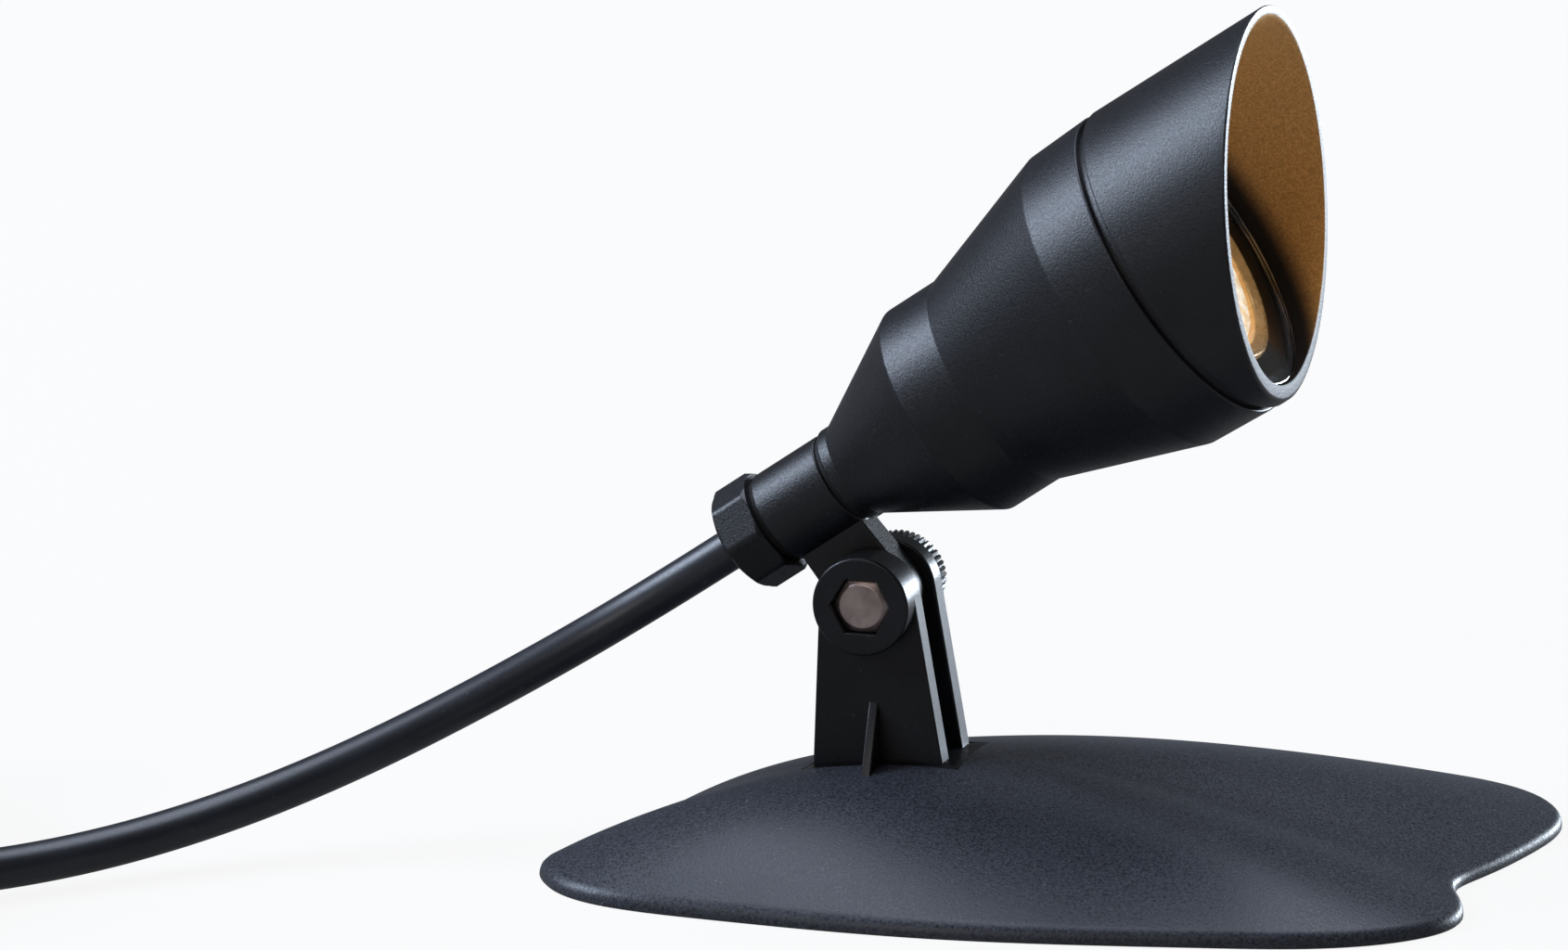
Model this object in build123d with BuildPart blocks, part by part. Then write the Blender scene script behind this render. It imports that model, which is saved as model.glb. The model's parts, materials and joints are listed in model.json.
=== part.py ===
from build123d import *
from math import atan2, cos, degrees, exp, hypot, pi, radians, sin, tan
import os

import numpy as np

# Landscape spotlight: a domed leaf-shaped base, a fork that carries a tilting head, and a cable with a coil.
# Millimetres. +Z is up, +X is the way the light points, and the origin is under the middle of the base.

os.makedirs("parts", exist_ok=True)

# Clearances
RUN_FIT = 0.05          # a shaft that turns in its hole
SIDE_PLAY = 0.3         # beside the lug, between the fork's ears
SLIP = 0.1              # pieces that are pushed or screwed together by hand
JOINT_GAP = 0.25        # open joint round the fork's plug
SCREW_ROOM = 0.2        # screw shank in its clearance hole
PILOT_FIT = 0.02        # screw shank in its tapped hole

# Pivot and head placement
PIVOT_HEIGHT = 40.0     # pivot bolt above the ground
HEAD_TILT = 34.9        # the light's axis above level, degrees
AXIS_OFFSET = 17.55     # the light's axis from the pivot bolt

# Base shell, with its outline given from the point under the pivot
OUTLINE = [
    (-43.3, -32.1), (-35.6, -41.0), (-14.2, -45.2), (22.0, -44.3), (61.0, -36.0), (84.5, -26.5),
    (93.3, -13.5), (91.0, -2.8), (89.0, 3.0), (90.9, 12.0), (95.5, 29.0), (96.4, 42.0), (89.8, 54.0),
    (71.6, 61.4), (40.4, 62.5), (8.1, 52.5), (-16.9, 35.8), (-33.9, 8.4), (-40.4, -20.0),
]
CREST = (16.0, -0.6)     # highest point of the dome
CREST_HEIGHT = 16.3
RIM_HEIGHT = 2.0
BASE_WALL = 2.2
DOME_POWER = 1.65        # how the dome falls from its crest to its rim
RIDGES = [(-20.0, 20.0, 0.45), (5.0, 17.0, -0.75), (195.0, 55.0, 0.9)]   # direction, half width, added power
REACH_BLEND = 10        # degrees to each side over which the inner dome evens out its outline
GRID_STEP = 6.0         # spacing of the points that shape the dome
RIM_STATIONS = 40       # points that shape the inner outline

# Fork
EAR_GAP = 6.6
EAR_THICK = 3.66
EAR_RADIUS = 7.55
EAR_FOOT_REAR = -8.7    # where the ears' edges meet the plug's underside
EAR_FOOT_FRONT = 13.6
BOSS_HEIGHT = 3.33
PLUG_REAR = -9.9
PLUG_FRONT = 14.8
PLUG_HALF_WIDTH = 8.2
PLUG_BOTTOM = 7.0
GUSSET_TOP = 24.6
GUSSET_REACH = 6.2
GUSSET_THICK = 1.5
POCKET_WALL = 2.2
POCKET_FLOOR = 2.4

# Fork screws
FORK_SCREW_D = 3.5
FORK_SCREW_PITCH = 14.0
FORK_SCREW_LENGTH = 8.0
FORK_HEAD_D = 6.5
FORK_HEAD_HEIGHT = 2.0
DRIVE_SPAN = 3.9
DRIVE_SLOT = 1.0

# Pivot bolt, washer and knob
BOLT_D = 5.0
BOLT_HEX = 8.0          # across flats
BOLT_HEAD = 3.4
BOLT_TOP = 6.72         # diameter of the head's flat top
BOLT_CHAMFER = 0.8      # depth of the turned edge at the corners
BOLT_CORNER = 9.6       # diameter of the turned edge at that depth
BOLT_SINK = 0.5         # head below the boss face
BOLT_END = 1.0          # thread that stands out of the knob's insert
HEX_ROOM = 0.12
WASHER_D = 12.0
WASHER_THICK = 0.5
KNOB_RADIUS = 7.25
KNOB_TEETH = 48
KNOB_TOOTH = 0.45
KNOB_CHAMFER = 0.6
KNOB_THICK = 3.2
KNOB_FACE_RADIUS = 5.5
KNOB_RECESS = 0.6
INSERT_D = 8.4

# Knuckle: the neck, its lug and the two threaded ends
NECK_RADIUS = 7.4
NECK_REAR = -7.0
NECK_FRONT = 5.0
LUG_RADIUS = 6.1
LUG_REAR = -6.6
LUG_FRONT = 4.7
LUG_ROOT = 5.2          # depth of the lug's root inside the neck, as a radius
NECK_ROOM = 0.2         # round the cable, in the neck
NECK_GASKET = 0.9
SPIGOT_RADIUS = 6.0
SPIGOT_END = 14.0

# Gland
GLAND_RADIUS = 6.2
GLAND_REAR = -13.4
GLAND_WASHER = 0.8
NUT_FLATS = 16.0
NUT_SIDES = 8
NUT_LENGTH = 7.1
NUT_CHAMFER = 1.0
SEAL_DEPTH = 4.4
SEAL_WALL = 1.5
SEAL_INSET = 0.4        # how far the flat seals lie below the neck's surface

# Housing: stations along the light's axis and their radii
FLANGE_RADIUS = 7.75
CONE_START = 7.8
STEP_REAR = 25.8
STEP_FRONT = 34.75
STEP_RADIUS = 17.43
BEZEL_REAR = 58.3
BEZEL_FRONT = 68.6
BEZEL_TAPER = 0.45      # from the bezel's front edge back to the cone
BEZEL_INSET = 0.1       # how far the bezel lies below the hood's surface
BEZEL_WALL = 2.45
HOUSING_WALL = 2.2
SINK_SEAT = 50.0        # shoulder that the heat sink's flange rests on
SEAT_WIDTH = 4.17
SKIRT_ROOM = 0.4

# Hood, glass and seals
GROOVE = 1.3
GROOVE_DEPTH = 1.1
HOOD_RADIUS = 25.55
HOOD_TAPER = 0.45       # over the hood's whole length
HOOD_WALL = 2.25
HOOD_LIP = 1.5          # wall at the tip
HOOD_CUT = 86.3         # where the slanted cut crosses the axis
HOOD_CUT_ANGLE = 29.5
HOOD_TURN = 4.2         # the hood's longest side is this far round from the top
HOOD_MARGIN = 1.2       # the blank is this much longer than the cut needs
RIM_ROUND = 0.5
SKIRT_LENGTH = 8.6
SKIRT_WALL = 1.7
GLASS_THICK = 2.0
GASKET_THICK = 0.4
GLASS_SEAT = 70.2
SEAL_RING_BACK = 4.0
SEAL_RING_D = 1.6
SEAL_RING_DEPTH = 0.9

# Lamp inside
SINK_ROOM = 0.3
SINK_REAR = 36.0
SINK_FLANGE = 4.0
SINK_CORE = 10.0
SINK_FINS = 14
FIN_SLOT = 2.2
FIN_ROOT = 1.5
LED_BOARD_RADIUS = 11.0
BOARD_THICK = 1.6
LED_SIZE = 3.5
LED_HEIGHT = 0.8
LED_DOME = 1.4
HOLDER_FOOT = 13.0
HOLDER_WALL = 1.3
HOLDER_FRONT = 66.4
HOLDER_LIP = 14.2
RING_RADIUS = 18.0
RING_BORE = 15.6
RING_FRONT = 70.1
RING_ROUND = 0.7
LENS_ROOM = 0.2
LENS_FLANGE = 2.6
LENS_REAR = 57.0
LENS_REAR_RADIUS = 4.6
LENS_WELL = 2.1
LENS_WELL_DEPTH = 3.2
BOARD_SCREW_D = 2.0
BOARD_SCREW_HEAD = 3.6
BOARD_SCREW_HEAD_HEIGHT = 1.2
BOARD_SCREW_LENGTH = 6.0
BOARD_SCREW_CIRCLE = 8.0
SINK_SCREW_D = 2.5
SINK_SCREW_HEAD = 3.2
SINK_SCREW_HEAD_HEIGHT = 1.4
SINK_SCREW_LENGTH = 8.0
SINK_SCREW_EDGE = 2.3   # from the screws' middles to the flange's seat
SINK_SCREWS = 3
DRIVER_ROOM = 0.83      # round the driver board
DRIVER_THICK = 1.2
PAD_THICK = 0.6
CAPACITOR_D = 6.4
CAPACITOR_LENGTH = 9.0
CAPACITOR_PLACE = (2.5, 8.0)
INDUCTOR_D = 8.0
INDUCTOR_LENGTH = 6.0
INDUCTOR_PLACE = (0.0, -8.2)
CHIP_SIZE = 4.0
CHIP_HEIGHT = 2.0
CHIP_PLACE = (-6.5, 7.0)
WIRE_D = 1.6
WIRE_CIRCLE = 5.6
WIRE_END = 0.6          # wire that stands out of the lamp board
CORE_D = 2.2
CORE_SPREAD = 1.7

# Cable, coil, ties and connector
CABLE_D = 6.3
CABLE_STUB = 1.6        # sheath that stands out behind the gland nut
CABLE_INSIDE = 16.0     # where the sheath is stripped, inside the housing
EXIT_RUN = 17.0
# Route of the free cable from the point under the pivot, after its first straight run
CABLE_ROUTE = [
    (-56.5, -11.0, 23.6), (-75.0, -25.0, 14.2), (-92.0, -39.5, 8.0), (-107.5, -56.0, 5.0),
]
LEAD_RUN = 20.0         # last straight run before the coil
ROUND_SHARE = 0.45      # share of a run that each rounded corner takes
COIL_CENTRE = (-177.5, -67.6)
COIL_START = -38.5      # direction of the coil's first point from its middle, degrees
COIL_INNER = 28.0
COIL_STEP = 7.8         # from turn to turn
COIL_CLIMB = 7.2        # from layer to layer
COIL_TURNS = 2.5        # in each layer, before the half turn that climbs
COIL_LAYERS = 3
COIL_LAST = 0.53        # turns of the short top layer
TIE_THICK = 1.0
TIE_WIDTH = 7.0
TIE_ROOM = 0.6
TIE_TURNS = (1 / 6, 1 / 3)
CONNECTOR_RADIUS = 5.4
CONNECTOR_BODY = 20.0
CONNECTOR_TAIL = 18.0
CONNECTOR_TAIL_RADIUS = 3.6
CONNECTOR_TAPER = 0.9
COLLAR_RADIUS = 6.6
COLLAR_LENGTH = 11.0
COLLAR_LAP = 3.0
COLLAR_RIBS = 24
COLLAR_TOOTH = 0.5
PIN_D = 2.0
PIN_LENGTH = 6.0
PIN_PITCH = 4.2


# Base shell

with BuildSketch() as traced:
    with BuildLine():
        Spline(*OUTLINE, periodic=True)
    make_face()

box_middle = traced.sketch.bounding_box().center()
FOOT = Vector(-box_middle.X, -box_middle.Y, 0)
PIVOT = FOOT + Vector(0, 0, PIVOT_HEIGHT)
crest = FOOT + Vector(*CREST)
dome_room = 2 * CREST_HEIGHT

with BuildSketch() as footprint:
    with BuildLine() as rim:
        Spline(*[FOOT + Vector(x, y) for x, y in OUTLINE], periodic=True)
    make_face()

inner_rim = []
for i in range(RIM_STATIONS):
    way = rim.line % (i / RIM_STATIONS)
    inner_rim.append(rim.line @ (i / RIM_STATIONS) + Vector(-way.Y, way.X, 0) * BASE_WALL)

rim_points = [rim.line @ (i / 720) - crest for i in range(720)]
rim_points.sort(key=lambda p: np.arctan2(p.Y, p.X))
rim_angles = [np.arctan2(p.Y, p.X) for p in rim_points]
rim_reaches = [p.length for p in rim_points]


def rim_reach(angle):
    """Distance from the crest to the outline in one direction."""
    return np.interp(angle, rim_angles, rim_reaches, period=2 * pi)


def bump(angle, ridge):
    """Added power of a ridge or valley that leaves the crest in one direction."""
    direction, half_width, gain = ridge
    off = (degrees(angle) - direction + 180) % 360 - 180
    return gain * exp(-((off / half_width) ** 2))


def dome_height(x, y):
    """Height of the dome's outer face over a point."""
    angle = np.arctan2(y - crest.Y, x - crest.X)
    distance = hypot(x - crest.X, y - crest.Y)
    reach = rim_reach(angle)
    even_reach = np.mean(rim_reach(angle + np.radians(np.arange(-REACH_BLEND, REACH_BLEND + 1))))
    nearness = min(distance / reach, 1)
    share = distance / (even_reach + (reach - even_reach) * nearness ** 2)
    power = DOME_POWER + nearness * sum(bump(angle, ridge) for ridge in RIDGES)
    fall = share ** power if share < 1 else 1 + power * (share - 1)
    return RIM_HEIGHT + (CREST_HEIGHT - RIM_HEIGHT) * (1 - fall)


def under_dome(lift):
    """A block under the dome's outer face, raised by lift, that reaches a little past the outline."""
    box = footprint.sketch.bounding_box()
    columns = np.arange(box.min.X - GRID_STEP, box.max.X + 1.5 * GRID_STEP, GRID_STEP)
    rows = np.arange(box.min.Y - GRID_STEP, box.max.Y + 1.5 * GRID_STEP, GRID_STEP)
    grid = [[Vector(x, y, dome_height(x, y) + lift) for y in rows] for x in columns]
    face = Face.make_surface_from_array_of_points(grid, min_deg=3)
    return Solid.extrude(face, Vector(0, 0, -2 * dome_room))


plug_middle = FOOT + Vector((PLUG_REAR + PLUG_FRONT) / 2, 0, 0)
plug_length = PLUG_FRONT - PLUG_REAR
pocket_length = plug_length + 2 * JOINT_GAP
pocket_width = 2 * (PLUG_HALF_WIDTH + JOINT_GAP)

with BuildPart() as base_hollow:
    with BuildSketch():
        with BuildLine():
            Spline(*inner_rim, periodic=True)
        make_face()
    extrude(amount=dome_room)
    add(under_dome(-BASE_WALL), mode=Mode.INTERSECT)
    with BuildSketch(Plane.XY.offset(PLUG_BOTTOM - POCKET_FLOOR)):
        with Locations((plug_middle.X, plug_middle.Y)):
            Rectangle(pocket_length + 2 * POCKET_WALL, pocket_width + 2 * POCKET_WALL)
    extrude(amount=dome_room, mode=Mode.SUBTRACT)

with BuildPart() as base_shell:
    with BuildSketch():
        add(footprint.sketch)
    extrude(amount=dome_room)
    add(under_dome(0), mode=Mode.INTERSECT)
    add(base_hollow.part, mode=Mode.SUBTRACT)
    with BuildSketch(Plane.XY.offset(PLUG_BOTTOM)):
        with Locations((plug_middle.X, plug_middle.Y)):
            Rectangle(pocket_length, pocket_width)
    extrude(amount=dome_room, mode=Mode.SUBTRACT)
    with BuildSketch(Plane.XY.offset(PLUG_BOTTOM)):
        with Locations((plug_middle.X, plug_middle.Y)):
            with GridLocations(FORK_SCREW_PITCH, 0, 2, 1):
                Circle(FORK_SCREW_D / 2 + SCREW_ROOM)
    extrude(amount=-POCKET_FLOOR, mode=Mode.SUBTRACT)
base_shell.part.label = "base_shell"
export_step(base_shell.part, "parts/base_shell.step")


# Fork

ear_outer = EAR_GAP / 2 + EAR_THICK
boss_face = ear_outer + BOSS_HEIGHT
head_top = BOLT_SINK - boss_face
head_seat = head_top + BOLT_HEAD
washer_face = ear_outer + WASHER_THICK
knob_face = washer_face + KNOB_THICK
BOLT = Plane(origin=PIVOT, x_dir=(0, 1, 0), z_dir=(1, 0, 0))
BOLT_AXIS = Axis(PIVOT, (0, 1, 0))


def outline(plane, *points):
    """A closed outline on a plane that holds an axis: each point is (along the axis, radius)."""
    with BuildSketch(plane, mode=Mode.PRIVATE) as sketch:
        with BuildLine():
            Polyline(*points, close=True)
        make_face()
    return sketch.sketch


def facing(y):
    """A plane across the pivot bolt, y from its middle, facing +Y."""
    return Plane(origin=PIVOT + Vector(0, y, 0), x_dir=(-1, 0, 0), z_dir=(0, 1, 0))


ear_height = PIVOT.Z - PLUG_BOTTOM
lean = atan2((EAR_FOOT_FRONT + EAR_FOOT_REAR) / 2, ear_height)
LEANING = Plane(origin=PIVOT, x_dir=(0, 1, 0), z_dir=(cos(lean), 0, sin(lean)))
toe_x = FOOT.X + (PIVOT.Z - CREST_HEIGHT) * tan(lean)

with BuildPart() as gussets:
    for side in (-1, 1):
        wall = side * ear_outer
        toe = wall + side * GUSSET_REACH
        root = wall - side * EAR_THICK / 2
        top = GUSSET_TOP - PIVOT.Z
        toe_top = dome_height(toe_x, FOOT.Y + toe) - PIVOT.Z
        with BuildSketch(LEANING):
            with BuildLine():
                Polyline(
                    (root, top), (wall, top), (toe, toe_top), (toe, -ear_height), (root, -ear_height),
                    close=True,
                )
            make_face()
        extrude(amount=GUSSET_THICK / 2, both=True)
    add(under_dome(SLIP), mode=Mode.SUBTRACT)

with BuildPart() as plug_block:
    with BuildSketch(Plane.XY.offset(PLUG_BOTTOM)):
        with Locations((plug_middle.X, plug_middle.Y)):
            Rectangle(plug_length, 2 * PLUG_HALF_WIDTH)
    extrude(amount=dome_room)
    add(under_dome(0), mode=Mode.INTERSECT)

with BuildPart() as fork_bracket:
    with BuildSketch(facing(0)):
        Circle(EAR_RADIUS)
        with BuildLine():
            Line((-EAR_FOOT_REAR, -ear_height), (-EAR_FOOT_FRONT, -ear_height))
        make_hull()
    extrude(amount=ear_outer, both=True)
    with BuildSketch(Plane.XY.offset(PLUG_BOTTOM)):
        with Locations((PIVOT.X, PIVOT.Y)):
            Rectangle(2 * plug_length, EAR_GAP)
    extrude(amount=PIVOT_HEIGHT + EAR_RADIUS, mode=Mode.SUBTRACT)
    add(gussets.part)
    add(plug_block.part)
    with BuildSketch(facing(-boss_face)):
        Circle(EAR_RADIUS)
    extrude(amount=BOSS_HEIGHT)
    with BuildSketch(facing(-boss_face)):
        RegularPolygon(BOLT_HEX / 2 + HEX_ROOM, 6, major_radius=False)
    extrude(amount=head_seat + boss_face, mode=Mode.SUBTRACT)
    with BuildSketch(facing(0)):
        Circle(BOLT_D / 2 + SLIP)
    extrude(amount=boss_face, both=True, mode=Mode.SUBTRACT)
    with BuildSketch(Plane.XY.offset(PLUG_BOTTOM)):
        with Locations((plug_middle.X, plug_middle.Y)):
            with GridLocations(FORK_SCREW_PITCH, 0, 2, 1):
                Circle(FORK_SCREW_D / 2 + PILOT_FIT)
    extrude(amount=FORK_SCREW_LENGTH - POCKET_FLOOR + SCREW_ROOM, mode=Mode.SUBTRACT)
fork_bracket.part.label = "fork_bracket"
export_step(fork_bracket.part, "parts/fork_bracket.step")

screw_seat = Plane.XY.offset(PLUG_BOTTOM - POCKET_FLOOR)
with BuildPart() as fork_screws:
    with BuildSketch(screw_seat):
        with Locations((plug_middle.X, plug_middle.Y)):
            with GridLocations(FORK_SCREW_PITCH, 0, 2, 1):
                Circle(FORK_HEAD_D / 2)
    extrude(amount=-FORK_HEAD_HEIGHT)
    with BuildSketch(screw_seat):
        with Locations((plug_middle.X, plug_middle.Y)):
            with GridLocations(FORK_SCREW_PITCH, 0, 2, 1):
                Circle(FORK_SCREW_D / 2)
    extrude(amount=FORK_SCREW_LENGTH)
    with BuildSketch(screw_seat.offset(-FORK_HEAD_HEIGHT)):
        with Locations((plug_middle.X, plug_middle.Y)):
            with GridLocations(FORK_SCREW_PITCH, 0, 2, 1):
                Rectangle(DRIVE_SPAN, DRIVE_SLOT)
                Rectangle(DRIVE_SLOT, DRIVE_SPAN)
    extrude(amount=DRIVE_SLOT, mode=Mode.SUBTRACT)
fork_screws.part.label = "fork_screws"
export_step(fork_screws.part, "parts/fork_screws.step")

# Pivot bolt, washer and knob

bolt_tip = knob_face - KNOB_RECESS + BOLT_END
thread_chamfer = BOLT_D / 8
with BuildPart() as pivot_bolt:
    with BuildSketch(facing(head_top)):
        RegularPolygon(BOLT_HEX / 2, 6, major_radius=False)
    extrude(amount=BOLT_HEAD)
    revolve(
        outline(
            BOLT, (head_top, 0), (head_top, BOLT_TOP / 2), (head_top + BOLT_CHAMFER, BOLT_CORNER / 2),
            (head_seat, BOLT_CORNER / 2), (head_seat, 0),
        ),
        axis=BOLT_AXIS,
        mode=Mode.INTERSECT,
    )
    revolve(
        outline(
            BOLT, (head_seat, 0), (head_seat, BOLT_D / 2), (bolt_tip - thread_chamfer, BOLT_D / 2),
            (bolt_tip, BOLT_D / 2 - thread_chamfer), (bolt_tip, 0),
        ),
        axis=BOLT_AXIS,
    )
pivot_bolt.part.label = "pivot_bolt"
export_step(pivot_bolt.part, "parts/pivot_bolt.step")

with BuildPart() as pivot_washer:
    with BuildSketch(facing(ear_outer)):
        Circle(WASHER_D / 2)
        Circle(BOLT_D / 2 + SLIP, mode=Mode.SUBTRACT)
    extrude(amount=WASHER_THICK)
pivot_washer.part.label = "pivot_washer"
export_step(pivot_washer.part, "parts/pivot_washer.step")


def toothed(radius, tooth, count):
    """Corner points of a fine-toothed wheel."""
    radii = [radius, radius - tooth] * count
    return [(r * cos(pi * i / count), r * sin(pi * i / count)) for i, r in enumerate(radii)]


with BuildPart() as knob_grip:
    with BuildSketch(facing(washer_face)):
        with BuildLine():
            Polyline(*toothed(KNOB_RADIUS, KNOB_TOOTH, KNOB_TEETH), close=True)
        make_face()
        Circle(INSERT_D / 2, mode=Mode.SUBTRACT)
    extrude(amount=KNOB_THICK)
    revolve(
        outline(
            BOLT, (washer_face, 0), (washer_face, KNOB_RADIUS - KNOB_CHAMFER),
            (washer_face + KNOB_CHAMFER, KNOB_RADIUS), (knob_face - KNOB_CHAMFER, KNOB_RADIUS),
            (knob_face, KNOB_RADIUS - KNOB_CHAMFER), (knob_face, 0),
        ),
        axis=BOLT_AXIS,
        mode=Mode.INTERSECT,
    )
    with BuildSketch(facing(knob_face)):
        Circle(KNOB_FACE_RADIUS)
    extrude(amount=-KNOB_RECESS, mode=Mode.SUBTRACT)
knob_grip.part.label = "knob_grip"
export_step(knob_grip.part, "parts/knob_grip.step")

with BuildPart() as knob_insert:
    with BuildSketch(facing(washer_face)):
        Circle(INSERT_D / 2)
        Circle(BOLT_D / 2 + RUN_FIT, mode=Mode.SUBTRACT)
    extrude(amount=KNOB_THICK - KNOB_RECESS)
knob_insert.part.label = "knob_insert"
export_step(knob_insert.part, "parts/knob_insert.step")

# Head: every piece of it is turned about the light's axis

tilt = radians(HEAD_TILT)
AIM = Vector(cos(tilt), 0, sin(tilt))
HEAD_UP = Vector(-sin(tilt), 0, cos(tilt))
HEAD_MIDDLE = PIVOT + HEAD_UP * AXIS_OFFSET
HEAD = Plane(origin=HEAD_MIDDLE, x_dir=AIM, z_dir=(0, -1, 0))
HEAD_AXIS = Axis(HEAD_MIDDLE, AIM)


def across(s):
    """A plane across the light's axis, s along it, with its x axis up."""
    return Plane(origin=HEAD_MIDDLE + AIM * s, x_dir=HEAD_UP, z_dir=AIM)


cable_radius = CABLE_D / 2
neck_bore = cable_radius + NECK_ROOM
seal_radius = cable_radius + SEAL_WALL
seal_pocket = seal_radius + RUN_FIT
seal_front = GLAND_REAR + SEAL_DEPTH
housing_rear = NECK_FRONT + NECK_GASKET
spigot_bore = SPIGOT_RADIUS + SLIP

with BuildPart() as knuckle:
    revolve(
        outline(
            HEAD, (GLAND_REAR, seal_pocket), (GLAND_REAR, GLAND_RADIUS), (NECK_REAR, GLAND_RADIUS),
            (NECK_REAR, NECK_RADIUS), (NECK_FRONT, NECK_RADIUS), (NECK_FRONT, SPIGOT_RADIUS),
            (SPIGOT_END, SPIGOT_RADIUS), (SPIGOT_END, neck_bore), (seal_front, neck_bore),
            (seal_front, seal_pocket),
        ),
        axis=HEAD_AXIS,
    )
    with BuildSketch(HEAD):
        with Locations((0, -AXIS_OFFSET)):
            Circle(LUG_RADIUS)
        with BuildLine():
            Line((LUG_REAR, -LUG_ROOT), (LUG_FRONT, -LUG_ROOT))
        make_hull()
        with Locations((0, -AXIS_OFFSET)):
            Circle(BOLT_D / 2 + RUN_FIT, mode=Mode.SUBTRACT)
    extrude(amount=EAR_GAP / 2 - SIDE_PLAY, both=True)
knuckle.part.label = "knuckle"
export_step(knuckle.part, "parts/knuckle.step")

with BuildPart() as neck_gasket:
    with BuildSketch(across(NECK_FRONT)):
        Circle(NECK_RADIUS - SEAL_INSET)
        Circle(spigot_bore, mode=Mode.SUBTRACT)
    extrude(amount=NECK_GASKET)
neck_gasket.part.label = "neck_gasket"
export_step(neck_gasket.part, "parts/neck_gasket.step")

nut_front = NECK_REAR - GLAND_WASHER
nut_rear = nut_front - NUT_LENGTH
nut_corner = NUT_FLATS / 2 / cos(pi / NUT_SIDES)

with BuildPart() as gland_washer:
    with BuildSketch(across(nut_front)):
        Circle(NECK_RADIUS - SEAL_INSET)
        Circle(GLAND_RADIUS + SLIP, mode=Mode.SUBTRACT)
    extrude(amount=GLAND_WASHER)
gland_washer.part.label = "gland_washer"
export_step(gland_washer.part, "parts/gland_washer.step")

with BuildPart() as gland_nut:
    with BuildSketch(across(nut_rear)):
        RegularPolygon(nut_corner, NUT_SIDES)
    extrude(amount=NUT_LENGTH)
    revolve(
        outline(
            HEAD, (nut_rear, 0), (nut_rear, nut_corner - 2 * NUT_CHAMFER),
            (nut_rear + NUT_CHAMFER, nut_corner), (nut_front - NUT_CHAMFER / 2, nut_corner),
            (nut_front, nut_corner - NUT_CHAMFER / 2), (nut_front, 0),
        ),
        axis=HEAD_AXIS,
        mode=Mode.INTERSECT,
    )
    revolve(
        outline(
            HEAD, (nut_rear, 0), (nut_rear, neck_bore), (GLAND_REAR - SLIP, neck_bore),
            (GLAND_REAR - SLIP, GLAND_RADIUS + SLIP), (nut_front, GLAND_RADIUS + SLIP), (nut_front, 0),
        ),
        axis=HEAD_AXIS,
        mode=Mode.SUBTRACT,
    )
gland_nut.part.label = "gland_nut"
export_step(gland_nut.part, "parts/gland_nut.step")

with BuildPart() as gland_seal:
    with BuildSketch(across(GLAND_REAR)):
        Circle(seal_radius)
        Circle(cable_radius + RUN_FIT, mode=Mode.SUBTRACT)
    extrude(amount=SEAL_DEPTH)
gland_seal.part.label = "gland_seal"
export_step(gland_seal.part, "parts/gland_seal.step")

cable_exit = nut_rear - CABLE_STUB
with BuildPart() as cable_end:
    with BuildSketch(across(cable_exit)):
        Circle(cable_radius)
    extrude(amount=CABLE_INSIDE - cable_exit)
cable_end.part.label = "cable_end"
export_step(cable_end.part, "parts/cable_end.step")

# Housing, hood, glass and seals

bezel_radius = HOOD_RADIUS - BEZEL_INSET
front_bore = bezel_radius - BEZEL_WALL
cavity = STEP_RADIUS - HOUSING_WALL
seat_radius = cavity + SEAT_WIDTH
sink_screw_circle = seat_radius - SINK_SCREW_EDGE
skirt_radius = front_bore - SLIP
skirt_bore = skirt_radius - SKIRT_WALL
skirt_rear = BEZEL_FRONT - SKIRT_LENGTH
sink_front = SINK_SEAT + SINK_FLANGE

with BuildPart() as housing:
    revolve(
        outline(
            HEAD, (housing_rear, spigot_bore), (housing_rear, FLANGE_RADIUS), (CONE_START, FLANGE_RADIUS),
            (STEP_REAR, STEP_RADIUS), (STEP_FRONT, STEP_RADIUS), (BEZEL_REAR, bezel_radius - BEZEL_TAPER),
            (BEZEL_FRONT, bezel_radius), (BEZEL_FRONT, front_bore), (skirt_rear - SKIRT_ROOM, front_bore),
            (sink_front, seat_radius), (SINK_SEAT, seat_radius), (SINK_SEAT, cavity),
            (STEP_REAR + HOUSING_WALL, cavity), (SPIGOT_END, spigot_bore + HOUSING_WALL),
            (SPIGOT_END, spigot_bore),
        ),
        axis=HEAD_AXIS,
    )
    with BuildSketch(across(SINK_SEAT)):
        with PolarLocations(sink_screw_circle, SINK_SCREWS):
            Circle(SINK_SCREW_D / 2 + PILOT_FIT)
    extrude(amount=SINK_FLANGE - SINK_SCREW_LENGTH - SCREW_ROOM, mode=Mode.SUBTRACT)
housing.part.label = "housing"
export_step(housing.part, "parts/housing.step")

groove_front = BEZEL_FRONT + GROOVE
seal_ring_middle = BEZEL_FRONT - SEAL_RING_BACK
cut_lean = HEAD_UP * cos(radians(HOOD_TURN)) + Vector(0, 1, 0) * sin(radians(HOOD_TURN))
cut_normal = AIM - cut_lean * tan(radians(HOOD_CUT_ANGLE))
hood_limit = HOOD_CUT + HOOD_MARGIN * HOOD_RADIUS * tan(radians(HOOD_CUT_ANGLE))
hood_tip = HOOD_RADIUS - HOOD_TAPER
hood_bore = HOOD_RADIUS - HOOD_WALL

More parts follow.
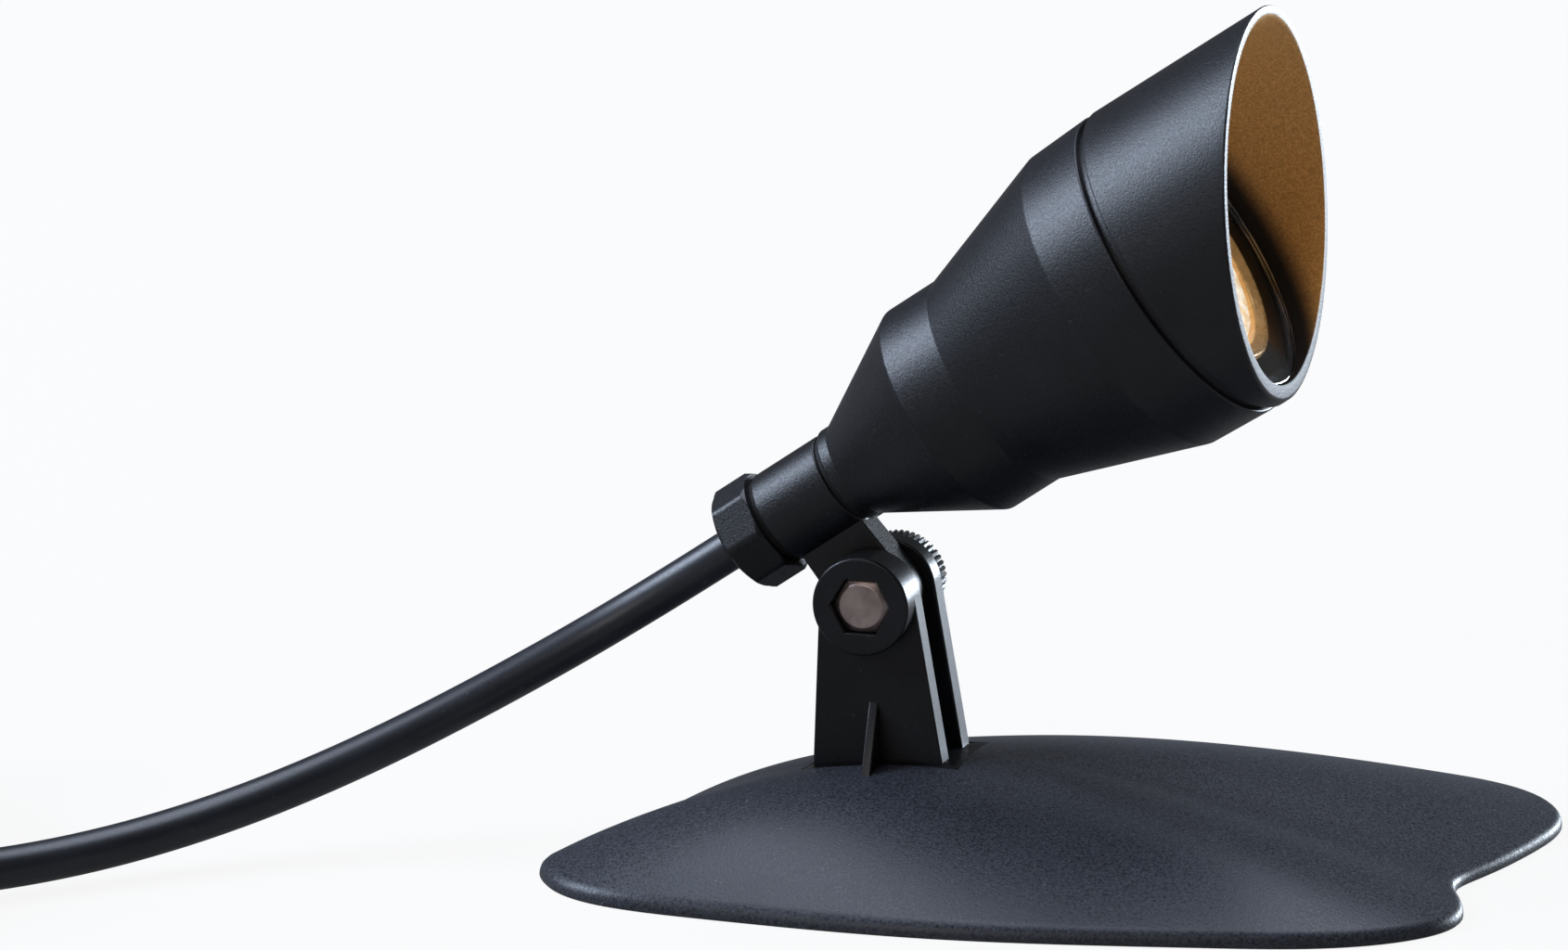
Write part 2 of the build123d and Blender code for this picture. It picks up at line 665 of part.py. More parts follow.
with BuildPart() as front_hood:
    revolve(
        outline(
            HEAD, (skirt_rear, skirt_bore), (skirt_rear, skirt_radius),
            (seal_ring_middle - SEAL_RING_D / 2, skirt_radius),
            (seal_ring_middle - SEAL_RING_D / 2, skirt_radius - SEAL_RING_DEPTH),
            (seal_ring_middle + SEAL_RING_D / 2, skirt_radius - SEAL_RING_DEPTH),
            (seal_ring_middle + SEAL_RING_D / 2, skirt_radius), (BEZEL_FRONT, skirt_radius),
            (BEZEL_FRONT, HOOD_RADIUS - GROOVE_DEPTH), (groove_front, HOOD_RADIUS - GROOVE_DEPTH),
            (groove_front, HOOD_RADIUS), (hood_limit, hood_tip), (hood_limit, hood_tip - HOOD_LIP),
            (GLASS_SEAT, hood_bore), (GLASS_SEAT, skirt_bore),
        ),
        axis=HEAD_AXIS,
    )
    split(bisect_by=Plane(origin=HEAD_MIDDLE + AIM * HOOD_CUT, z_dir=cut_normal), keep=Keep.BOTTOM)
    mouth = faces().filter_by(GeomType.PLANE).sort_by(Axis(HEAD_MIDDLE, cut_normal))[-1]
    fillet(mouth.edges(), RIM_ROUND)
front_hood.part.label = "front_hood"
export_step(front_hood.part, "parts/front_hood.step")

with BuildPart() as hood_seal:
    revolve(
        outline(
            HEAD, (seal_ring_middle - SEAL_RING_D / 2, skirt_radius - SEAL_RING_DEPTH),
            (seal_ring_middle - SEAL_RING_D / 2, front_bore),
            (seal_ring_middle + SEAL_RING_D / 2, front_bore),
            (seal_ring_middle + SEAL_RING_D / 2, skirt_radius - SEAL_RING_DEPTH),
        ),
        axis=HEAD_AXIS,
    )
hood_seal.part.label = "hood_seal"
export_step(hood_seal.part, "parts/hood_seal.step")

with BuildPart() as glass_gasket:
    with BuildSketch(across(GLASS_SEAT)):
        Circle(hood_bore - SLIP)
        Circle(skirt_bore + SLIP, mode=Mode.SUBTRACT)
    extrude(amount=GASKET_THICK)
glass_gasket.part.label = "glass_gasket"
export_step(glass_gasket.part, "parts/glass_gasket.step")

with BuildPart() as front_glass:
    with BuildSketch(across(GLASS_SEAT + GASKET_THICK)):
        Circle(hood_bore - SLIP)
    extrude(amount=GLASS_THICK)
front_glass.part.label = "front_glass"
export_step(front_glass.part, "parts/front_glass.step")

# Lamp and driver

board_front = sink_front + BOARD_THICK
pad_rear = SINK_REAR - PAD_THICK
driver_rear = pad_rear - DRIVER_THICK
wire_hole = WIRE_D / 2 + SLIP
screw_hole = BOARD_SCREW_D / 2 + PILOT_FIT

with BuildPart() as heat_sink:
    revolve(
        outline(
            HEAD, (SINK_REAR, 0), (SINK_REAR, cavity - SINK_ROOM), (SINK_SEAT, cavity - SINK_ROOM),
            (SINK_SEAT, seat_radius - SLIP), (sink_front, seat_radius - SLIP), (sink_front, 0),
        ),
        axis=HEAD_AXIS,
    )
    with BuildSketch(across(SINK_REAR)):
        with PolarLocations(SINK_CORE + cavity / 2, SINK_FINS):
            Rectangle(cavity, FIN_SLOT)
    extrude(amount=SINK_SEAT - SINK_REAR - FIN_ROOT, mode=Mode.SUBTRACT)
    with BuildSketch(across(SINK_REAR)):
        with GridLocations(0, 2 * WIRE_CIRCLE, 1, 2):
            Circle(wire_hole)
    extrude(amount=sink_front - SINK_REAR, mode=Mode.SUBTRACT)
    with BuildSketch(across(sink_front)):
        with GridLocations(2 * BOARD_SCREW_CIRCLE, 0, 2, 1):
            Circle(screw_hole)
    extrude(amount=BOARD_THICK - BOARD_SCREW_LENGTH - SCREW_ROOM, mode=Mode.SUBTRACT)
    with BuildSketch(across(SINK_REAR)):
        with GridLocations(2 * BOARD_SCREW_CIRCLE, 0, 2, 1):
            Circle(screw_hole)
    extrude(amount=BOARD_SCREW_LENGTH, mode=Mode.SUBTRACT)
    with BuildSketch(across(SINK_SEAT)):
        with PolarLocations(sink_screw_circle, SINK_SCREWS):
            Circle(SINK_SCREW_D / 2 + SCREW_ROOM)
    extrude(amount=SINK_FLANGE, mode=Mode.SUBTRACT)
heat_sink.part.label = "heat_sink"
export_step(heat_sink.part, "parts/heat_sink.step")


def board(s, thick, radius):
    """A round board or pad with its two screw holes and two wire holes."""
    with BuildPart(mode=Mode.PRIVATE) as disc:
        with BuildSketch(across(s)):
            Circle(radius)
            with GridLocations(2 * BOARD_SCREW_CIRCLE, 0, 2, 1):
                Circle(BOARD_SCREW_D / 2 + SCREW_ROOM, mode=Mode.SUBTRACT)
            with GridLocations(0, 2 * WIRE_CIRCLE, 1, 2):
                Circle(wire_hole, mode=Mode.SUBTRACT)
        extrude(amount=thick)
    return disc.part


for name, s, thick, radius in (
    ("led_board", sink_front, BOARD_THICK, LED_BOARD_RADIUS),
    ("driver_pad", pad_rear, PAD_THICK, cavity - DRIVER_ROOM),
    ("driver_board", driver_rear, DRIVER_THICK, cavity - DRIVER_ROOM),
):
    with BuildPart() as disc:
        add(board(s, thick, radius))
    disc.part.label = name
    export_step(disc.part, f"parts/{name}.step")

with BuildPart() as board_screws:
    for seat, way in ((board_front, 1), (driver_rear, -1)):
        with BuildSketch(across(seat)):
            with GridLocations(2 * BOARD_SCREW_CIRCLE, 0, 2, 1):
                Circle(BOARD_SCREW_HEAD / 2)
        extrude(amount=way * BOARD_SCREW_HEAD_HEIGHT)
        with BuildSketch(across(seat)):
            with GridLocations(2 * BOARD_SCREW_CIRCLE, 0, 2, 1):
                Circle(BOARD_SCREW_D / 2)
        extrude(amount=-way * BOARD_SCREW_LENGTH)
board_screws.part.label = "board_screws"
export_step(board_screws.part, "parts/board_screws.step")

with BuildPart() as sink_screws:
    with BuildSketch(across(sink_front)):
        with PolarLocations(sink_screw_circle, SINK_SCREWS):
            Circle(SINK_SCREW_HEAD / 2)
    extrude(amount=SINK_SCREW_HEAD_HEIGHT)
    with BuildSketch(across(sink_front)):
        with PolarLocations(sink_screw_circle, SINK_SCREWS):
            Circle(SINK_SCREW_D / 2)
    extrude(amount=-SINK_SCREW_LENGTH)
sink_screws.part.label = "sink_screws"
export_step(sink_screws.part, "parts/sink_screws.step")

with BuildPart() as led_emitter:
    with BuildSketch(across(board_front)):
        Rectangle(LED_SIZE, LED_SIZE)
    extrude(amount=LED_HEIGHT)
    with Locations(across(board_front + LED_HEIGHT)):
        Sphere(LED_DOME, arc_size1=0)
led_emitter.part.label = "led_emitter"
export_step(led_emitter.part, "parts/led_emitter.step")

holder_front_radius = RING_RADIUS - SLIP
holder_rise = (holder_front_radius - HOLDER_FOOT) / (HOLDER_FRONT - sink_front)
lip_rear = HOLDER_FRONT - HOLDER_WALL
with BuildPart() as lens_holder:
    revolve(
        outline(
            HEAD, (sink_front, HOLDER_FOOT - HOLDER_WALL), (sink_front, HOLDER_FOOT),
            (HOLDER_FRONT, holder_front_radius), (HOLDER_FRONT, HOLDER_LIP), (lip_rear, HOLDER_LIP),
            (lip_rear, HOLDER_FOOT - HOLDER_WALL + holder_rise * (lip_rear - sink_front)),
        ),
        axis=HEAD_AXIS,
    )
lens_holder.part.label = "lens_holder"
export_step(lens_holder.part, "parts/lens_holder.step")

lens_radius = RING_BORE - LENS_ROOM
with BuildPart() as collimator_lens:
    revolve(
        outline(
            HEAD, (LENS_REAR + LENS_WELL_DEPTH, 0), (LENS_REAR + LENS_WELL_DEPTH, LENS_WELL),
            (LENS_REAR, LENS_WELL), (LENS_REAR, LENS_REAR_RADIUS), (HOLDER_FRONT, HOLDER_LIP - LENS_ROOM),
            (HOLDER_FRONT, lens_radius), (HOLDER_FRONT + LENS_FLANGE, lens_radius),
            (HOLDER_FRONT + LENS_FLANGE, 0),
        ),
        axis=HEAD_AXIS,
    )
collimator_lens.part.label = "collimator_lens"
export_step(collimator_lens.part, "parts/collimator_lens.step")

with BuildPart() as lens_ring:
    with BuildSketch(across(HOLDER_FRONT)):
        Circle(RING_RADIUS)
        Circle(RING_BORE, mode=Mode.SUBTRACT)
    extrude(amount=RING_FRONT - HOLDER_FRONT)
    fillet(faces().sort_by(HEAD_AXIS)[-1].edges(), RING_ROUND)
lens_ring.part.label = "lens_ring"
export_step(lens_ring.part, "parts/lens_ring.step")

with BuildPart() as led_wires:
    with BuildSketch(across(pad_rear)):
        with GridLocations(0, 2 * WIRE_CIRCLE, 1, 2):
            Circle(WIRE_D / 2)
    extrude(amount=board_front + WIRE_END - pad_rear)
led_wires.part.label = "led_wires"
export_step(led_wires.part, "parts/led_wires.step")

with BuildPart() as supply_wires:
    with BuildSketch(across(CABLE_INSIDE)):
        with GridLocations(0, 2 * CORE_SPREAD, 1, 2):
            Circle(CORE_D / 2)
    extrude(amount=driver_rear - CABLE_INSIDE)
supply_wires.part.label = "supply_wires"
export_step(supply_wires.part, "parts/supply_wires.step")

with BuildPart() as driver_components:
    with BuildSketch(across(driver_rear)):
        with Locations(CAPACITOR_PLACE):
            Circle(CAPACITOR_D / 2)
    extrude(amount=-CAPACITOR_LENGTH)
    with BuildSketch(across(driver_rear)):
        with Locations(INDUCTOR_PLACE):
            Circle(INDUCTOR_D / 2)
    extrude(amount=-INDUCTOR_LENGTH)
    with BuildSketch(across(driver_rear)):
        with Locations(CHIP_PLACE):
            Rectangle(CHIP_SIZE, CHIP_SIZE)
    extrude(amount=-CHIP_HEIGHT)
driver_components.part.label = "driver_components"
export_step(driver_components.part, "parts/driver_components.step")

# Coil: layers that spiral in and out, each one climbing in the half turn where it reverses

cable_section = pi * cable_radius ** 2
coil_middle = FOOT + Vector(*COIL_CENTRE)
coil_floor = TIE_THICK + TIE_ROOM + cable_radius
coil_lap = COIL_TURNS + 0.5
coil_total = COIL_LAYERS * coil_lap + COIL_LAST
coil_outer = COIL_INNER + COIL_STEP * COIL_TURNS
connector_rise = CONNECTOR_RADIUS + TIE_ROOM + cable_radius - COIL_CLIMB


def ease(share):
    """A smooth rise from 0 to 1."""
    return (1 - cos(pi * min(max(share, 0), 1))) / 2


def coil_place(turn):
    """A point of the coil's centre line, counted in turns from its start."""
    layer = min(int(turn / coil_lap), COIL_LAYERS)
    along = turn - layer * coil_lap
    spiral = COIL_STEP * min(along, COIL_TURNS)
    radius = coil_outer - spiral if layer % 2 == 0 else COIL_INNER + spiral
    rise = COIL_CLIMB * (layer + ease((along - COIL_TURNS) / 0.5))
    rise += connector_rise * ease(1 - (coil_total - turn) / 0.25)
    angle = radians(COIL_START) - 2 * pi * turn
    return coil_middle + Vector(radius * cos(angle), radius * sin(angle), coil_floor + rise)


def coil_way(turn):
    """Direction of the coil's centre line."""
    return (coil_place(turn + 0.001) - coil_place(turn - 0.001)).normalized()


def biarc(start, start_way, end, end_way):
    """Two arcs that leave one point and reach another in the given directions."""
    span = end - start
    both = start_way + end_way
    turned = 2 * (1 - start_way.dot(end_way))
    reach = (-span.dot(both) + (span.dot(both) ** 2 + turned * span.dot(span)) ** 0.5) / turned
    first = start + start_way * reach
    last = end - end_way * reach
    middle = (first + last) * 0.5
    TangentArc(start, middle, tangent=start_way)
    TangentArc(middle, end, tangent=last - first)


quarters = round(4 * coil_total)
stops = [coil_total * i / quarters for i in range(quarters + 1)]
coil_begin = coil_place(0)
lead_in = coil_begin - coil_way(0) * CABLE_D
coil_end = coil_place(coil_total)
connector_way = coil_way(coil_total)
connector_start = coil_end + connector_way * CABLE_D

with BuildPart() as cable_coil:
    with BuildLine() as coil_line:
        Line(lead_in, coil_begin)
        for here, there in zip(stops, stops[1:]):
            biarc(coil_place(here), coil_way(here), coil_place(there), coil_way(there))
        Line(coil_end, connector_start)
    with BuildSketch(Plane(origin=lead_in, z_dir=coil_way(0))):
        Circle(cable_radius)
    sweep(path=coil_line.wire())
cable_coil.part.label = "cable_coil"
export_step(cable_coil.part, "parts/cable_coil.step")

samples = 100
trace = np.array([tuple(coil_place(i / samples)) for i in range(int(coil_total * samples))])
spacing = np.linalg.norm(trace[:, None] - trace[None], axis=2)
apart = np.abs(np.subtract.outer(np.arange(len(trace)), np.arange(len(trace)))) > samples / 2
print("coil: least gap to itself", round(spacing[apart].min() - CABLE_D, 2))
coil_length = coil_line.wire().length
print("coil: length", coil_length, "volume share", cable_coil.part.volume / (coil_length * cable_section))

with BuildPart() as coil_ties:
    for turn in TIE_TURNS:
        angle = radians(COIL_START) - 2 * pi * turn
        outward = Vector(cos(angle), sin(angle), 0)
        room = cable_radius + TIE_ROOM
        inner_edge = COIL_INNER + COIL_STEP * min(turn, 0.5 - turn) - room
        outer_edge = coil_outer - COIL_STEP * min(turn, 0.5 - turn) + room
        top_turn = coil_place(COIL_LAYERS * coil_lap + turn)
        knee = (top_turn - coil_middle).dot(outward) + room
        shoulder = coil_floor + (COIL_LAYERS - 1) * COIL_CLIMB + room
        loop = [(inner_edge, TIE_THICK), (outer_edge, TIE_THICK), (outer_edge, shoulder)]
        loop += [(knee, top_turn.Z + room), (inner_edge, top_turn.Z + room)]
        with BuildSketch(Plane(origin=coil_middle, x_dir=outward, z_dir=(outward.Y, -outward.X, 0))):
            with BuildLine():
                Polyline(*loop, close=True)
            make_face()
            offset(amount=TIE_THICK, mode=Mode.REPLACE)
            with BuildLine():
                Polyline(*loop, close=True)
            make_face(mode=Mode.SUBTRACT)
        extrude(amount=TIE_WIDTH / 2, both=True)
coil_ties.part.label = "coil_ties"
export_step(coil_ties.part, "parts/coil_ties.step")

# Free cable from the gland to the coil

exit_point = HEAD_MIDDLE + AIM * cable_exit
route = [exit_point, exit_point - AIM * EXIT_RUN]
route += [FOOT + Vector(*point) for point in CABLE_ROUTE]
route += [lead_in - coil_way(0) * LEAD_RUN, lead_in]
radii = []
for before, here, after in zip(route, route[1:], route[2:]):
    turn = (here - before).get_angle(after - here)
    radii.append(ROUND_SHARE * min((here - before).length, (after - here).length) / tan(radians(turn / 2)))
print("cable: radii", [round(radius) for radius in radii])

with BuildPart() as cable:
    with BuildLine() as cable_line:
        FilletPolyline(*route, radius=radii)
    with BuildSketch(Plane(origin=exit_point, z_dir=-AIM)):
        Circle(cable_radius)
    sweep(path=cable_line.wire())
cable.part.label = "cable"
export_step(cable.part, "parts/cable.step")
cable_length = cable_line.wire().length
print("cable: free length", cable_length, "volume share", cable.part.volume / (cable_length * cable_section))

# Connector on the cable's end

CONNECTOR = Plane(origin=connector_start, x_dir=connector_way, z_dir=connector_way.cross(Vector(0, 0, 1)))
CONNECTOR_AXIS = Axis(connector_start, connector_way)
connector_front = CONNECTOR_TAIL + CONNECTOR_BODY
with BuildPart() as connector_body:
    revolve(
        outline(
            CONNECTOR, (0, 0), (0, CONNECTOR_TAIL_RADIUS),
            (CONNECTOR_TAIL, CONNECTOR_TAIL_RADIUS + CONNECTOR_TAPER), (CONNECTOR_TAIL, CONNECTOR_RADIUS),
            (connector_front, CONNECTOR_RADIUS), (connector_front, 0),
        ),
        axis=CONNECTOR_AXIS,
    )
connector_body.part.label = "connector_body"
export_step(connector_body.part, "parts/connector_body.step")

with BuildPart() as connector_collar:
    collar_start = connector_start + connector_way * (connector_front - COLLAR_LAP)
    with BuildSketch(Plane(origin=collar_start, z_dir=connector_way)):
        with BuildLine():
            Polyline(*toothed(COLLAR_RADIUS, COLLAR_TOOTH, COLLAR_RIBS), close=True)
        make_face()
        Circle(CONNECTOR_RADIUS + SLIP, mode=Mode.SUBTRACT)
    extrude(amount=COLLAR_LENGTH)
connector_collar.part.label = "connector_collar"
export_step(connector_collar.part, "parts/connector_collar.step")

with BuildPart() as connector_pins:
    with BuildSketch(Plane(origin=connector_start + connector_way * connector_front, z_dir=connector_way)):
        with GridLocations(PIN_PITCH, 0, 2, 1):
            Circle(PIN_D / 2)
    extrude(amount=PIN_LENGTH)
connector_pins.part.label = "connector_pins"
export_step(connector_pins.part, "parts/connector_pins.step")
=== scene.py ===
# %% [markdown]
# # A landscape spotlight
# The object is a small black garden light: a domed base shaped like a leaf, a fork, a head that tilts in the fork, and
# a rubber cable. Its measured solids come in as a fixed frame, in metres. The pieces that show are made again over
# them, with rounded edges and finishes, and each one rides on the body that carries it.

# %% Load the frame
import json
import math

import bmesh
import bpy
import numpy as np
from mathutils import Matrix, Vector


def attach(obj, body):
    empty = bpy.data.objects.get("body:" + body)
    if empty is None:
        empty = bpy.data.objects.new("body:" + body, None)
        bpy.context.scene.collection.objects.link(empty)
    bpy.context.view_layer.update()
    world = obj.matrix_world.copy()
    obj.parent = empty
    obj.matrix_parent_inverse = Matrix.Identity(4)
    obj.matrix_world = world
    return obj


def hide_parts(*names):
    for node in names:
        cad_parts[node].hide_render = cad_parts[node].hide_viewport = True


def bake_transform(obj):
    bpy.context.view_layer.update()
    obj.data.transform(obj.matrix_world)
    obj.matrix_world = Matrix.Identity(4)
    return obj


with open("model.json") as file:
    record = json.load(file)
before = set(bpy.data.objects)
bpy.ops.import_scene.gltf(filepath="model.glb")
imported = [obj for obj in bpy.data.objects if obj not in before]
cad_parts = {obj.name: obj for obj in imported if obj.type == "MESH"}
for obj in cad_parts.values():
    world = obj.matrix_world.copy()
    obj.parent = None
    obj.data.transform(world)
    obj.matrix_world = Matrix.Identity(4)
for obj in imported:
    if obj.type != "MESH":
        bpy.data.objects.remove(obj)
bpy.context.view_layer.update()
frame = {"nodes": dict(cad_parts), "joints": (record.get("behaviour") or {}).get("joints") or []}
nodes = frame["nodes"]
MM = 0.001
tilt_joint = next(joint for joint in frame["joints"] if joint["name"] == "tilt")
PIVOT = Vector(tilt_joint["pos_m"]) / MM
FOOT = Vector((PIVOT.x, PIVOT.y, 0))
HEAD_TILT = math.radians(34.9)
AIM = Vector((math.cos(HEAD_TILT), 0, math.sin(HEAD_TILT)))
print("nodes", len(nodes), "pivot in mm", [round(x, 3) for x in PIVOT])

# %% [markdown]
# ## The camera
# The photograph's camera was worked out from the outlines of the head, the ears and the knob. A camera could be aimed
# with a constraint, but its three directions are known, so they go straight into its matrix.

# %% Place the camera
CAMERA_FROM_PIVOT = Vector((329.99, -1034.98, 273.59))
RIGHT = Vector((0.94858, 0.31654, 0.0))
UP = Vector((-0.07248, 0.21721, 0.97343))
BACK = Vector((0.30813, -0.92338, 0.22898))
SENSOR_MM = 36.0
FOCAL_MM = 170.4


def add_object(name, data):
    """Puts an object with its data in the scene."""
    item = bpy.data.objects.new(name, data)
    bpy.context.scene.collection.objects.link(item)
    return item


lens = bpy.data.cameras.new("photo_camera")
lens.sensor_fit = "HORIZONTAL"
lens.sensor_width = SENSOR_MM
lens.lens = FOCAL_MM
lens.clip_start = 0.01
camera = add_object("photo_camera", lens)
camera.matrix_world = Matrix((RIGHT, UP, BACK)).transposed().to_4x4()
camera.location = (PIVOT + CAMERA_FROM_PIVOT) * MM
bpy.context.scene.camera = camera
print("camera at", [round(x, 3) for x in camera.location])

# %% [markdown]
# ## Finishes
# Every surface here is a real material with its own grain, so each finish is a small node tree on Object coordinates:
# a slow noise for blotches, a fine noise for grain, a ramp for the colour, and a bump. Image textures could do the
# same, but noise has no seams and no fixed size. These helpers add nodes, and feed their sockets with values or with
# other nodes' results.

# %% Helpers for finishes
NOISE_LOW = 0.3
NOISE_HIGH = 0.7


def feed(socket, value):
    """Sets an input socket to a value, or joins it to an output; a node stands for its first output."""
    if isinstance(value, bpy.types.Node):
        value = value.outputs[0]
    if isinstance(value, bpy.types.NodeSocket):
        socket.id_data.links.new(value, socket)
    else:
        socket.default_value = value


def fill(node, **inputs):
    """Feeds a node's inputs, which are named as on the node."""
    for name, value in inputs.items():
        feed(node.inputs[name.replace("_", " ")], value)
    return node


def add_node(owner, kind, **inputs):
    """Adds a node to a finish or a tree and feeds its inputs."""
    return fill(getattr(owner, "node_tree", owner).nodes.new(kind), **inputs)


def maths(owner, operation, *values):
    """The result of a sum on values and outputs."""
    node = add_node(owner, "ShaderNodeMath")
    node.operation = operation
    for socket, value in zip(node.inputs, values):
        feed(socket, value)
    return node.outputs[0]


def noise(material, grain_mm, detail=4.0, stretch=(1, 1, 1)):
    """Noise on Object coordinates with grains of about the given size."""
    place = add_node(material, "ShaderNodeTexCoord").outputs["Object"]
    mapped = add_node(material, "ShaderNodeMapping", Vector=place, Scale=stretch)
    return add_node(material, "ShaderNodeTexNoise", Vector=mapped, Scale=1 / (grain_mm * MM), Detail=detail)


def ramp(material, source, *stops):
    """A colour ramp between two stops, each a place from 0 to 1 and a colour."""
    node = add_node(material, "ShaderNodeValToRGB", Fac=source)
    for element, (place, colour) in zip(node.color_ramp.elements, stops):
        element.position = place
        element.color = (*colour, 1.0)
    return node


def spread(material, source, low, high):
    """Spreads the middle of a noise over a range of numbers."""
    middle = {"From_Min": NOISE_LOW, "From_Max": NOISE_HIGH}
    return add_node(material, "ShaderNodeMapRange", Value=source, **middle, To_Min=low, To_Max=high)


def overlay(material, share, below, above):
    """Lays one colour over another by a share."""
    node = add_node(material, "ShaderNodeMix")
    node.data_type = "RGBA"
    for index, value in ((0, share), (6, below), (7, above)):
        feed(node.inputs[index], value)
    return node.outputs[2]


def shader_of(material):
    """The shader of a finish."""
    return material.node_tree.nodes["Principled BSDF"]


def bare_finish(name, **sockets):
    """A new finish and its shader, with the shader's inputs fed."""
    material = bpy.data.materials.new(name)
    material.use_nodes = True
    return material, fill(shader_of(material), **sockets)


def bumped(material, height, strength, depth_mm):
    """A normal that is tilted by a height noise."""
    return add_node(material, "ShaderNodeBump", Height=height, Strength=strength, Distance=depth_mm * MM)


print("finish helpers ready")

# %% [markdown]
# ## Moulded plastic and rubber
# The light is moulded from black plastic with a fine spark-eroded grain. It looks slightly blue where it shines, a
# little dust sits on it, and no two patches shine quite the same. One function makes all the black finishes, which
# differ in tone, grain and shine.

# %% Black finishes
FLECK = (0.17, 0.18, 0.21, 1.0)
DUST = (0.30, 0.29, 0.27, 1.0)
BLOTCH_MM = 11.0
SPECK_MM = 0.9
GRAIN_DEPTH_MM = 0.05


def black_finish(name, dark, light, shine, grain_mm, grain_share, dust, level, flecks=0.0):
    """Black moulded plastic or rubber: blotches between two tones, a fine grain, and pale specks of dust."""
    material, shader = bare_finish(name, Specular_IOR_Level=level)
    grain = noise(material, grain_mm, 3.0)
    tone = ramp(material, noise(material, BLOTCH_MM, 5.0), (0.35, dark), (0.68, light))
    tone = overlay(material, spread(material, grain, 0.0, flecks), tone, FLECK)
    share = ramp(material, noise(material, SPECK_MM, 2.0), (0.70, (0, 0, 0)), (0.78, (dust, dust, dust)))
    fill(
        shader, Base_Color=overlay(material, share, tone, DUST), Roughness=spread(material, grain, *shine),
        Normal=bumped(material, grain, grain_share, GRAIN_DEPTH_MM),
    )
    return material


head_plastic = black_finish(
    "head_plastic", (0.003, 0.003, 0.0045), (0.006, 0.006, 0.0085), (0.35, 0.48), 0.34, 0.9, 0.08, 0.5, 0.012
)
base_plastic = black_finish(
    "base_plastic", (0.010, 0.011, 0.016), (0.014, 0.015, 0.021), (0.30, 0.54), 0.42, 1.0, 0.20, 0.4, 0.20
)
fork_plastic = black_finish(
    "fork_plastic", (0.004, 0.004, 0.005), (0.008, 0.008, 0.010), (0.28, 0.38), 0.30, 0.6, 0.05, 0.36, 0.01
)
cable_rubber = black_finish(
    "cable_rubber", (0.010, 0.011, 0.016), (0.016, 0.018, 0.025), (0.32, 0.44), 0.35, 0.25, 0.12, 0.6
)
seal_rubber = black_finish(
    "seal_rubber", (0.006, 0.006, 0.006), (0.012, 0.012, 0.012), (0.6, 0.75), 0.3, 0.4, 0.2, 0.3
)
nylon_strap = black_finish(
    "nylon_strap", (0.012, 0.012, 0.013), (0.022, 0.022, 0.024), (0.55, 0.7), 0.4, 0.8, 0.4, 0.3
)
print("black finishes", [m.name for m in (head_plastic, base_plastic, fork_plastic, cable_rubber)])

# %% [markdown]
# ## The hood's painted glow, metals, glass and lens
# Inside, the hood is black plastic, and its warm brown is painted light: a painted reflection of the light of the gold
# ring and the lens, with painted shade next to the glass. The bolt is dull zinc, brushed a little round its axis. The
# lens is clear acrylic, and its faint warm glow is painted light, as is the gold ring's fainter glow.

# %% Other finishes


def metal_finish(name, dark, light, shine, grain_mm):
    """A metal with soft stains and fine brushing."""
    material, shader = bare_finish(name, Metallic=1.0)
    brushing = noise(material, grain_mm, 3.0, (1, 0.15, 1))
    fill(
        shader, Base_Color=ramp(material, noise(material, 3.0, 6.0), (0.32, dark), (0.7, light)),
        Roughness=spread(material, brushing, *shine), Normal=bumped(material, brushing, 0.25, 0.02),
    )
    return material


def plain_finish(name, dark, light, shine, grain_mm=2.0, **sockets):
    """A quiet finish: two tones and a changing shine."""
    material, shader = bare_finish(name, **sockets)
    grain = noise(material, grain_mm)
    tone = ramp(material, grain, (0.3, dark), (0.7, light))
    fill(shader, Base_Color=tone, Roughness=spread(material, grain, *shine))
    return material


# Painted light on the hood's black inner wall: warm brown further from the glass is a painted reflection of the lens's
# and ring's light, and the dark band next to the glass is painted shade.
PAINTED_SHADE_FADE = PIVOT.dot(AIM) + 74.0
PAINTED_GLOW_FULL = PIVOT.dot(AIM) + 78.5
hood_lining, hood_glow_shader = bare_finish("hood_lining", Specular_IOR_Level=0.2)
sparkle = noise(hood_lining, 0.35, 3.0)
along_aim = add_node(hood_lining, "ShaderNodeVectorMath")
along_aim.operation = "DOT_PRODUCT"
feed(along_aim.inputs[0], add_node(hood_lining, "ShaderNodeTexCoord").outputs["Object"])
feed(along_aim.inputs[1], AIM)
glow_share = add_node(
    hood_lining, "ShaderNodeMapRange", Value=along_aim.outputs["Value"], From_Min=PAINTED_SHADE_FADE * MM,
    From_Max=PAINTED_GLOW_FULL * MM,
)
glow_share.interpolation_type = "SMOOTHSTEP"
painted_shade_black = ramp(hood_lining, sparkle, (0.3, (0.010, 0.008, 0.007)), (0.7, (0.016, 0.013, 0.011)))
painted_glow_brown = ramp(hood_lining, sparkle, (0.32, (0.40, 0.19, 0.052)), (0.68, (0.68, 0.35, 0.10)))
fill(
    hood_glow_shader, Base_Color=overlay(hood_lining, glow_share, painted_shade_black, painted_glow_brown),
    Roughness=spread(hood_lining, sparkle, 0.45, 0.6),
)
bolt_zinc = metal_finish("bolt_zinc", (0.36, 0.28, 0.265), (0.58, 0.47, 0.45), (0.30, 0.46), 0.12)
turned_brass = metal_finish("turned_brass", (0.55, 0.38, 0.14), (0.75, 0.55, 0.24), (0.25, 0.4), 0.15)
